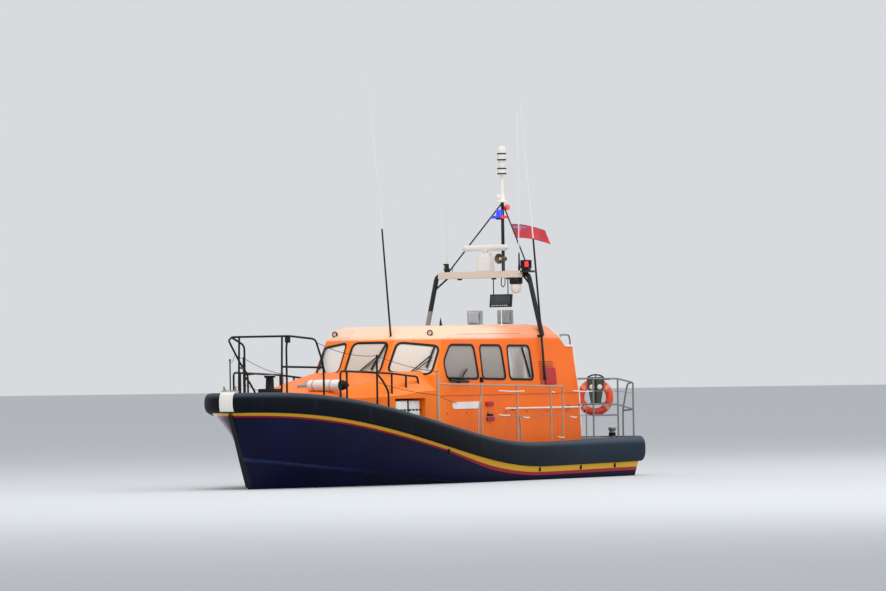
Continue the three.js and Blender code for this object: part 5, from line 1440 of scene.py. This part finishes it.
def cushion(low, high, pinch=0.05, seams=0):
    """A stuffed pad: its broad faces crowned, its sides pulled in between the corners."""
    middle, half, wide, tall, thin = spans(low, high)
    furrows = [(i + 1) * 2 / (seams + 1) - 1 for i in range(seams)]
    mesh = bmesh.new()
    bmesh.ops.create_cube(mesh, size=2)
    bmesh.ops.subdivide_edges(mesh, edges=mesh.edges[:], cuts=15, use_grid_fill=True)
    for vert in mesh.verts:
        u, v, w = vert.co[wide], vert.co[tall], vert.co[thin]
        crown = max((1 - u * u) * (1 - v * v), 0) ** 0.35
        groove = sum(math.exp(-((v - place) / 0.06) ** 2) for place in furrows)
        spot = Vector()
        spot[wide] = half[wide] * u * (1 - pinch * (1 - v * v) ** 2) * (1 - 0.05 * w * w * abs(u) ** 6)
        spot[tall] = half[tall] * v * (1 - pinch * (1 - u * u) ** 2) * (1 - 0.05 * w * w * abs(v) ** 6)
        spot[thin] = half[thin] * w * (0.62 + 0.38 * crown) * (1 - 0.16 * min(groove, 1) * crown)
        vert.co = middle + spot
    bmesh.ops.smooth_vert(mesh, verts=mesh.verts, factor=0.4,
                          use_axis_x=True, use_axis_y=True, use_axis_z=True)
    bmesh.ops.recalc_face_normals(mesh, faces=mesh.faces)
    return mesh


def piping(low, high, inset=0.008):
    """The sewn welt round a pad's edge, at half its thickness."""
    middle, half, wide, tall, _ = spans(low, high)
    out = []
    for u, v in eased_loop([(-1, -1), (-1, 1), (1, 1), (1, -1)], 0.16, 4):
        spot = middle.copy()
        spot[wide] += (half[wide] - inset) * u
        spot[tall] += (half[tall] - inset) * v
        out.append(spot)
    return tubes(0.0045, out, closed=True, sides=1)


def vinyl(name, colour, shade):
    """Coated marine seat cloth with a fine leathery grain and soft creases."""
    cover = Finish(name)
    grain = cover.noise(260.0, 3.0)
    crease = cover.noise(9.0, 5.0, rough=0.65)
    wear = cover.noise(2.2, 3.0)
    tone = cover.mix(wear.between(0.35, 0.75) * 0.7, ink(colour), ink(shade))
    tone = cover.mix(crease.between(0.62, 0.85) * 0.2, tone, ink("c8c8c4"))
    return cover.done(Base_Color=tone, Roughness=0.5 + wear * 0.15,
                      Normal=cover.bump(grain * 0.35 + crease * 0.65, 0.002, 0.5))


def upholstered(name, pads, finish, welt, node):
    """Each pad as a padded piece, the first of them standing for the node, and the piping of them all. A pad
    is two corners and its number of seams."""
    for number, (low, high, seams) in enumerate(pads):
        piece = solid(f"{name}_{number + 1}", cushion(low, high, seams=seams), finish, crisp=70,
                      stands_for="" if number else node)
        level = piece.modifiers.new("fullness", "SUBSURF")
        level.levels = level.render_levels = 1
    solid(f"{name}_piping", gathered(*[piping(low, high) for low, high, _ in pads]), welt)


# Upper seats
# Pale grey moulded shells on pedestals, with buttoned-down vinyl squabs and backs.
pale_vinyl = vinyl("pale_vinyl", "c9ccce", "b6babd")
dark_vinyl = vinyl("dark_vinyl", "2b2f36", "3a3f47")
seat_shell = moulded("seat_shell", "c2c5c8", "aeb2b5", 0.4, 80.0)
SEAT_AFT, SEAT_FORE = -3.8597, -3.42
BACK = SEAT_AFT + 0.036
shells, pads = [boxed((SEAT_AFT, -0.6, floor_top), (-3.46, 0.6, 2.702), 0.02, 3)], []
for s in both:
    inner, outer = sorted((s * 0.19, s * 0.60))
    shells += [boxed((SEAT_AFT, inner, 2.70), (SEAT_FORE, outer, 2.76), 0.02, 3),
               boxed((SEAT_AFT, inner, 2.74), (SEAT_AFT + 0.035, outer, 3.74), 0.016, 3)]
    shells += [boxed((SEAT_AFT + 0.03, y, 2.76), (SEAT_AFT + 0.30, y + 0.03, 2.95), 0.013, 3)
               for y in (inner, outer - 0.03)]
    pads += [((SEAT_AFT + 0.10, inner + 0.035, 2.762), (SEAT_FORE, outer - 0.035, 2.858), 1),
             ((BACK, inner + 0.03, 2.86), (SEAT_AFT + 0.11, outer - 0.03, 3.42), 3),
             ((BACK, inner + 0.06, 3.44), (SEAT_AFT + 0.108, outer - 0.06, 3.72), 0)]
solid("upper_seat_shells", gathered(*shells), seat_shell, broad=True)
upholstered("upper_seat_pads", pads, pale_vinyl, dark_vinyl, "upper_seat")

# Overhead display
# A sunlight-readable screen in a dark case hangs from the beam on two bars.
SCREEN_X, SCREEN_IN, SCREEN_OUT, SCREEN_LOW, SCREEN_TOP = -3.45, 0.262, 0.802, 3.80, 4.085
screen_face = sloping((SCREEN_X + 0.06, 0, SCREEN_LOW), (SCREEN_X + 0.02, 0, SCREEN_TOP), turned_aft=False)
kept("overhead_display_case", "helm_display", black_paint, 0.01, 3, 30)
screen_edge = oblong(SCREEN_IN + 0.025, SCREEN_OUT - 0.025, 0.07, 0.265)
solid("overhead_display_front", fitted(screen_face, screen_edge, 0.004, 0.012, 0.002),
      screen_glass)
solid("overhead_display_keys", gathered(*[
    fitted(screen_face, oblong(SCREEN_IN + 0.05 + 0.055 * i, SCREEN_IN + 0.085 + 0.055 * i, 0.025, 0.05),
           0.005, 0.006, 0.002) for i in range(8)]), console_grey)

# Cabin
# Six suspension seats stand on white plinths each side of the aisle, and the helm
# desk runs across under the windscreen.
kept("helm_desk", "helm_console", console_grey, 0.02, 3, 20)
desk_face = sloping((0.42, 0, 1.9), (0.76, 0, 2.18))
solid("desk_screens", gathered(*[fitted(desk_face, oblong(y - 0.2, y + 0.2, 0.09, 0.37), 0.006, 0.02)
                                 for y in (-0.95, -0.47, 0, 0.47, 0.95)]), screen_glass)
solid("desk_keys", gathered(*[fitted(desk_face, oblong(y - 0.02, y + 0.02, 0.025, 0.06), 0.006, 0.006, 0.002)
                              for y in [-1.1 + 0.1 * i for i in range(23)]]), dial_black)
SEAT_ROWS = (-0.7, -1.9, -3.1)
bases = [boxed((-3.5, -1.2, deck_height(-3.0) - 0.04), (0.2, 1.2, 1.11), 0)]
frames, cabin_pads = [], []
for s in both:
    inner, outer = sorted((s * 0.62, s * 1.10))
    low, high = sorted((s * 0.60, s * 1.12))
    bases.append(boxed((-3.4, low, 1.05), (-0.25, high, 1.18), 0.02, 3))
    for x in SEAT_ROWS:
        frames += [boxed((x - 0.02, inner + 0.03, 1.17), (x + 0.44, outer - 0.03, 1.30), 0.02, 3),
                   boxed((x + 0.04, inner + 0.08, 1.29), (x + 0.38, outer - 0.08, 1.40), 0.02, 3),
                   boxed((x - 0.058, inner + 0.03, 1.39), (x + 0.47, outer - 0.03, 1.45), 0.025, 3),
                   boxed((x - 0.058, inner + 0.04, 1.42), (x - 0.028, outer - 0.04, 2.2), 0.014, 3)]
        cabin_pads += [((x + 0.02, inner, 1.445), (x + 0.48, outer, 1.615), 1),
                       ((x - 0.03, inner + 0.03, 1.6), (x + 0.058, outer - 0.03, 2.0), 3),
                       ((x - 0.028, inner + 0.09, 2.02), (x + 0.05, outer - 0.09, 2.19), 0)]
solid("seat_plinths", gathered(*bases), gelcoat)
solid("seat_frames", gathered(*frames), console_grey, broad=True)
upholstered("cabin_pads", cabin_pads, dark_vinyl, pale_vinyl, "cabin_seats")

# Engines
# Two grey diesels on bearers: a block, rocker covers, a cooler, filters and pipes.
engine_grey = enamel("engine_grey", "7f868b", "6d747a", 0.35, 0.1)
engine_dark = moulded("engine_dark", "1b1d20", "2a2d31", 0.5, 60.0)
solid("engine_bearers", gathered(*[boxed((x, -1.13, -0.3297), (x + 0.12, 1.13, -0.21), 0.006)
                                   for x in (-5.7, -4.8)]), engine_dark, broad=True)
FILTER = [(0, 0), (0.05, 0), (0.055, 0.02), (0.055, 0.17), (0.03, 0.2), (0, 0.2)]
COOLER = [(0, 0), (0.13, 0), (0.14, 0.03), (0.14, 0.33), (0.11, 0.36), (0, 0.36)]
blocks, dark_parts = [], []
for middle in (0.73, -0.73):
    blocks += [boxed((-5.72, middle - 0.26, -0.24), (-4.62, middle + 0.26, 0.16), 0.03, 3),
               boxed((-5.94, middle - 0.2, -0.2), (-5.70, middle + 0.2, 0.1), 0.05, 3)]
    for s in both:
        y = middle + s * 0.17
        pipe_y = y + s * 0.12
        blocks += [boxed((-5.62, y - 0.11, 0.14), (-4.72, y + 0.11, 0.34), 0.03, 3),
                   boxed((-5.60, y - 0.09, 0.33), (-4.74, y + 0.09, 0.40), 0.03, 3)]
        dark_parts += [tubes(0.045, [(-5.64, pipe_y, 0.18), (-4.7, pipe_y, 0.18)], sides=4),
                       turned(FILTER, (-4.66, y, 0.0), steps=20)]
    dark_parts += [turned(COOLER, (-5.55, middle, 0.38), FORWARD, 24),
                   boxed((-4.62, middle - 0.2, -0.2), (-4.43, middle + 0.2, 0.2), 0.04, 3),
                   tubes(0.05, [(-5.0, middle, 0.44), (-4.6, middle, 0.44), (-4.5, middle, 0.2)], sides=4)]
solid("engine_blocks", gathered(*blocks), engine_grey, stands_for="engines", broad=True)
solid("engine_pipes", gathered(*dark_parts), engine_dark)

# Engine hatch
# A flush moulded lid on the after deck, sanded on top, with hinges aft and two
# recessed lifting rings forward.
kept("engine_lid_shell", "engine_hatch", orange_enamel, 0.012, 3, 35, body="engine_lid")
LID_TOP = 0.91737
RING_LOW, RING_TOP = LID_TOP + 0.002, LID_TOP + 0.01
LIFTING_RING = [(0.035, RING_LOW), (0.05, RING_LOW), (0.05, RING_TOP), (0.035, RING_TOP), (0.035, RING_LOW)]
solid("engine_lid_tread", boxed((-5.99, -0.79, LID_TOP - 0.004), (-5.16, 0.79, LID_TOP + 0.0035), 0.003),
      deck_grit, body="engine_lid")
solid("engine_lid_irons", gathered(
    *[boxed((-6.06, y - 0.07, LID_TOP - 0.003), (-5.98, y + 0.07, LID_TOP + 0.009), 0.004)
      for y in (-0.55, 0, 0.55)],
    *[turned(LIFTING_RING, (-5.13, y, 0), steps=20) for y in (-0.45, 0.45)]),
      stainless, body="engine_lid")

# Lifebuoy
# An orange ring with pale reflective tapes and a grab line hangs on a dark plate
# inside the port quarter rail, under a small arched hood.
RING = {"x": -5.628, "y": 1.62, "z": 1.768, "radius": 0.327, "tube": 0.084, "bearing": 40.0}
ring_turn = Matrix.Rotation(math.radians(RING["bearing"] - 90), 4, "Z")


def about_ring(mesh):
    """Turns a mesh made round its own Y axis to face the ring's bearing."""
    place = Matrix.Translation((RING["x"], RING["y"], 0))
    bmesh.ops.transform(mesh, matrix=place @ ring_turn, verts=mesh.verts)
    return mesh


def ring_arc(start, end, tube, steps):
    """Part of the ring's tube, from one angle to another."""
    rows = []
    for i in range(steps + 1):
        a = math.radians(start + (end - start) * i / steps)
        row = []
        for b in [math.tau * j / 24 for j in range(24)]:
            reach = RING["radius"] + tube * math.cos(b)
            row.append(Vector((reach * math.cos(a), tube * math.sin(b), RING["z"] + reach * math.sin(a))))
        rows.append(row)
    return skinned(rows)


def buoy_paint():
    """Orange vinyl, painted darker underneath as painted shade."""
    skin = Finish("buoy_skin")
    cloud = skin.noise(7.0, 4.0)
    grain = skin.noise(200.0, 2.0)
    # Painted shade: the ring is painted dark maroon towards its bottom.
    under = 1 - skin.z.between(1.36, 1.62)
    tone = skin.mix(cloud.between(0.4, 0.8) * 0.5, ink("ee4a22"), ink("d83c1c"))
    return skin.done(Base_Color=skin.mix(under * 0.75, tone, ink("8f2130")), Roughness=0.42 + cloud * 0.2,
                     Normal=skin.bump(grain * 0.3 + cloud * 0.7, 0.002, 0.4))


tape_white = moulded("tape_white", "e4e2e0", "cfccca", 0.4, 500.0)
# Painted shade: the reflective tapes are given a muted pink for the shade and orange light they sit in.
shaded_tape = moulded("shaded_tape", "f0a084", "e58c70", 0.5, 500.0)
ring_parts = gathered(ring_arc(0, 352, RING["tube"], 44), ring_arc(351.9, 360.1, RING["tube"], 2))
solid("buoy_ring", about_ring(ring_parts), buoy_paint(), stands_for="lifebuoy")
solid("buoy_tapes", about_ring(gathered(*[ring_arc(a - 7, a + 7, RING["tube"] + 0.003, 4)
                                          for a in (40, 140, 220, 320)])), shaded_tape)
line_spots = []
for a in [math.tau * i / 48 for i in range(48)]:
    lobe = abs(math.sin(2 * (a - math.radians(40))))
    reach = RING["radius"] + RING["tube"] + 0.004 + 0.004 * lobe
    line_spots.append((reach * math.cos(a), 0.03 * lobe, RING["z"] + reach * math.sin(a)))
solid("buoy_grab_line", about_ring(tubes(0.004, line_spots, closed=True)), tape_white)
holder_grey = moulded("holder_grey", "3f4238", "4c5044", 0.55, 70.0)
kept("buoy_holder", "lifebuoy_holder", holder_grey, 0.006, 2, 30)


def holder_face(u, v, h):
    """The holder plate's outer face, with u across it, v the height and h outwards."""
    return Vector((RING["x"], RING["y"], 0)) + ring_turn @ Vector((-u, 0.1104 + h, v))


REFLECTOR = [(0, 0), (0.055, 0), (0.055, 0.004), (0.05, 0.006), (0, 0.006)]
solid("holder_reflectors", gathered(*[
    turned(REFLECTOR, holder_face(u, 2.0, 0), holder_face(0, 0, 1) - holder_face(0, 0, 0), 24)
    for u in (-0.089, 0.089)]), tape_white)
hood = [holder_face(0.2 * math.cos(a), 2.16 + 0.11 * math.sin(a), -0.02)
        for a in [math.radians(20 + 140 * i / 8) for i in range(9)]]
solid("holder_hood", gathered(
    tubes(0.016, hood, reach=0.001),
    tubes(0.02, [holder_face(-0.17, 2.2, -0.013), holder_face(0.17, 2.2, -0.013)]),
    tubes(0.012, [holder_face(0, 1.63, 0.012), holder_face(0, 2.28, 0.004)])), black_paint)

# Bollard, bitts and windlass
# A stout stainless towing bollard stands on the after deck, with low bitts on the
# quarters and a capstan in a black housing on the foredeck.


def bollard(x, y, radius, high, name, node):
    """A waisted post under a rolled head, on a round bolted base."""
    z = deck_height(x, y)
    stem = radius * 0.7
    post = [(0, -0.03), (radius, -0.03), (radius, 0.012), (stem, 0.03), (stem, high - 0.075),
            (radius * 0.96, high - 0.05), (radius, high - 0.035), (radius, high - 0.015),
            (radius * 0.92, high), (0, high)]
    bolts = [turned([(0, 0), (0.012, 0), (0.012, 0.01), (0, 0.012)],
                    (x + radius * 0.85 * math.cos(a), y + radius * 0.85 * math.sin(a), z + 0.012), steps=6)
             for a in (0.4, 1.97, 3.54, 5.11)]
    solid(name, gathered(turned(post, (x, y, z), steps=36), *bolts), worn_steel,
          stands_for=node)


def hoop(centre, first, second, bar, steps):
    """A closed ring of bar round a centre, through the ends of two arms."""
    centre, first, second = Vector(centre), Vector(first), Vector(second)
    return tubes(bar, [centre + first * math.cos(a) + second * math.sin(a)
                       for a in [math.tau * i / steps for i in range(steps)]], closed=True)


worn_steel = alloy("worn_steel", "8f9290", 0.35, 0.85)
bollard(-6.33, 0, 0.13, 0.42, "tow_bollard", "towing_bollard")
for side, name in SIDES:
    bollard(-6.3, side * 1.65, 0.092, 0.238, f"{name}_bitt", f"{name}_quarter_bitt")
bitt_foot = deck_height(-6.3, 1.65)
solid("port_bitt_rope", gathered(*[hoop((-6.3, 1.65, bitt_foot + z), (0.07, 0, 0), (0, 0.07, 0), 0.012, 20)
                                   for z in (0.06, 0.085, 0.11)]), strap_web)
solid("capstan", softened("windlass", 0.006, 2, 40), black_paint, stands_for="windlass")
solid("capstan_cap", turned([(0, 0.431), (0.118, 0.4305), (0.11, 0.436), (0.05, 0.44), (0, 0.44)],
                            (5.05, 0, deck_height(5.05)), steps=36), white_enamel)

# Foredeck stowage
# A white boat's fender with a black nose is lashed across the trunk with red line.
BUFFER_AT = (4.02, 0, 2.152)
BUFFER_BODY = [(0, 0.3), (0.07, 0.302), (0.105, 0.32), (0.119, 0.36), (0.119, 1.06), (0.112, 1.12),
               (0, 1.13)]
BUFFER_NOSE = [(0, 1.115), (0.113, 1.115), (0.11, 1.15), (0.095, 1.2), (0.075, 1.24), (0.04, 1.275),
               (0.032, 1.303), (0, 1.305)]
ATHWART = (0, 1, 0)
buffer_white = moulded("buffer_white", "f1efe9", "dedbd3", 0.45, 90.0)
solid("deck_fender_body", turned(BUFFER_BODY, BUFFER_AT, ATHWART, 36), buffer_white)
solid("deck_fender_nose", turned(BUFFER_NOSE, BUFFER_AT, ATHWART, 36), black_rubber,
      stands_for="deck_buffer")
solid("deck_fender_lashing", gathered(*[
    hoop((BUFFER_AT[0], y, BUFFER_AT[2]), (0.122, 0, 0), (0, 0, 0.124), 0.006, 24) for y in (0.46, 0.9)]),
      red_panel)

# Waterjets
# Two cast alloy waterjets fill the stern recess: a bolted flange, a ribbed body, a
# steering nozzle on two pins and a curved reversing bucket on two arms.
jet_cast = alloy("jet_cast", "9fa4a6", 0.42, 0.8)
JET_Z = -0.44
BOLT_CIRCLE = [(0.225 * math.cos(a), 0.225 * math.sin(a)) for a in [math.tau * i / 12 for i in range(12)]]
for s, name in SIDES:
    bolts = [turned([(0, 0), (0.014, 0), (0.014, 0.012), (0, 0.014)],
                    (-6.2, s * 0.62 + y, JET_Z + z), (-1, 0, 0), 6)
             for y, z in BOLT_CIRCLE]
    solid(f"{name}_jet_body", gathered(softened(f"{name}_jet", 0.005, 2, 35), *bolts), jet_cast,
          stands_for=f"{name}_jet", broad=True)
    for part, piece, finish in (("nozzle", "nozzle_body", cast_alloy), ("bucket", "bucket_plate", jet_cast)):
        kept(f"{name}_{piece}", f"{name}_{part}", finish, 0.003, 2, 35, body=f"{name}_{part}")

# Stage
# A pale floor at the water's level and soft studio light from high ahead and port.
floor_mesh = bmesh.new()
bmesh.ops.create_grid(floor_mesh, x_segments=1, y_segments=1, size=400)
floor_data = bpy.data.meshes.new("floor")
floor_mesh.to_mesh(floor_data)
floor_mesh.free()
floor_paint = Finish("floor_paint")
floor_data.materials.append(
    floor_paint.done(Base_Color=ink("cfd2d4"), Roughness=0.95, Specular_IOR_Level=0.1))
floor = bpy.data.objects.new("floor", floor_data)
bpy.context.scene.collection.objects.link(floor)
floor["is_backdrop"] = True

sky = bpy.data.worlds.new("studio")
sky.use_nodes = True
sky.node_tree.nodes["Background"].inputs["Color"].default_value = (0.86, 0.88, 0.91, 1)
sky.node_tree.nodes["Background"].inputs["Strength"].default_value = 0.8
bpy.context.scene.world = sky
bpy.context.scene.view_settings.view_transform = "Standard"

AIM = Vector((0, 0, 1.5))
# name, place, energy, size
LIGHTS = [
    ("key", (20, 8, 40), 8500, 22),
    ("fill", (14, 38, 18), 2600, 20),
    ("rim", (-26, 16, 26), 2500, 16),
]
for name, place, energy, size in LIGHTS:
    lamp = bpy.data.lights.new(name, "AREA")
    lamp.energy = energy
    lamp.size = size
    light = bpy.data.objects.new(name, lamp)
    light.location = place
    light.rotation_euler = (Vector(place) - AIM).to_track_quat("Z", "Y").to_euler()
    bpy.context.scene.collection.objects.link(light)

size = {"cad": cad_box, "visual": [list(corner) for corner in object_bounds()]}
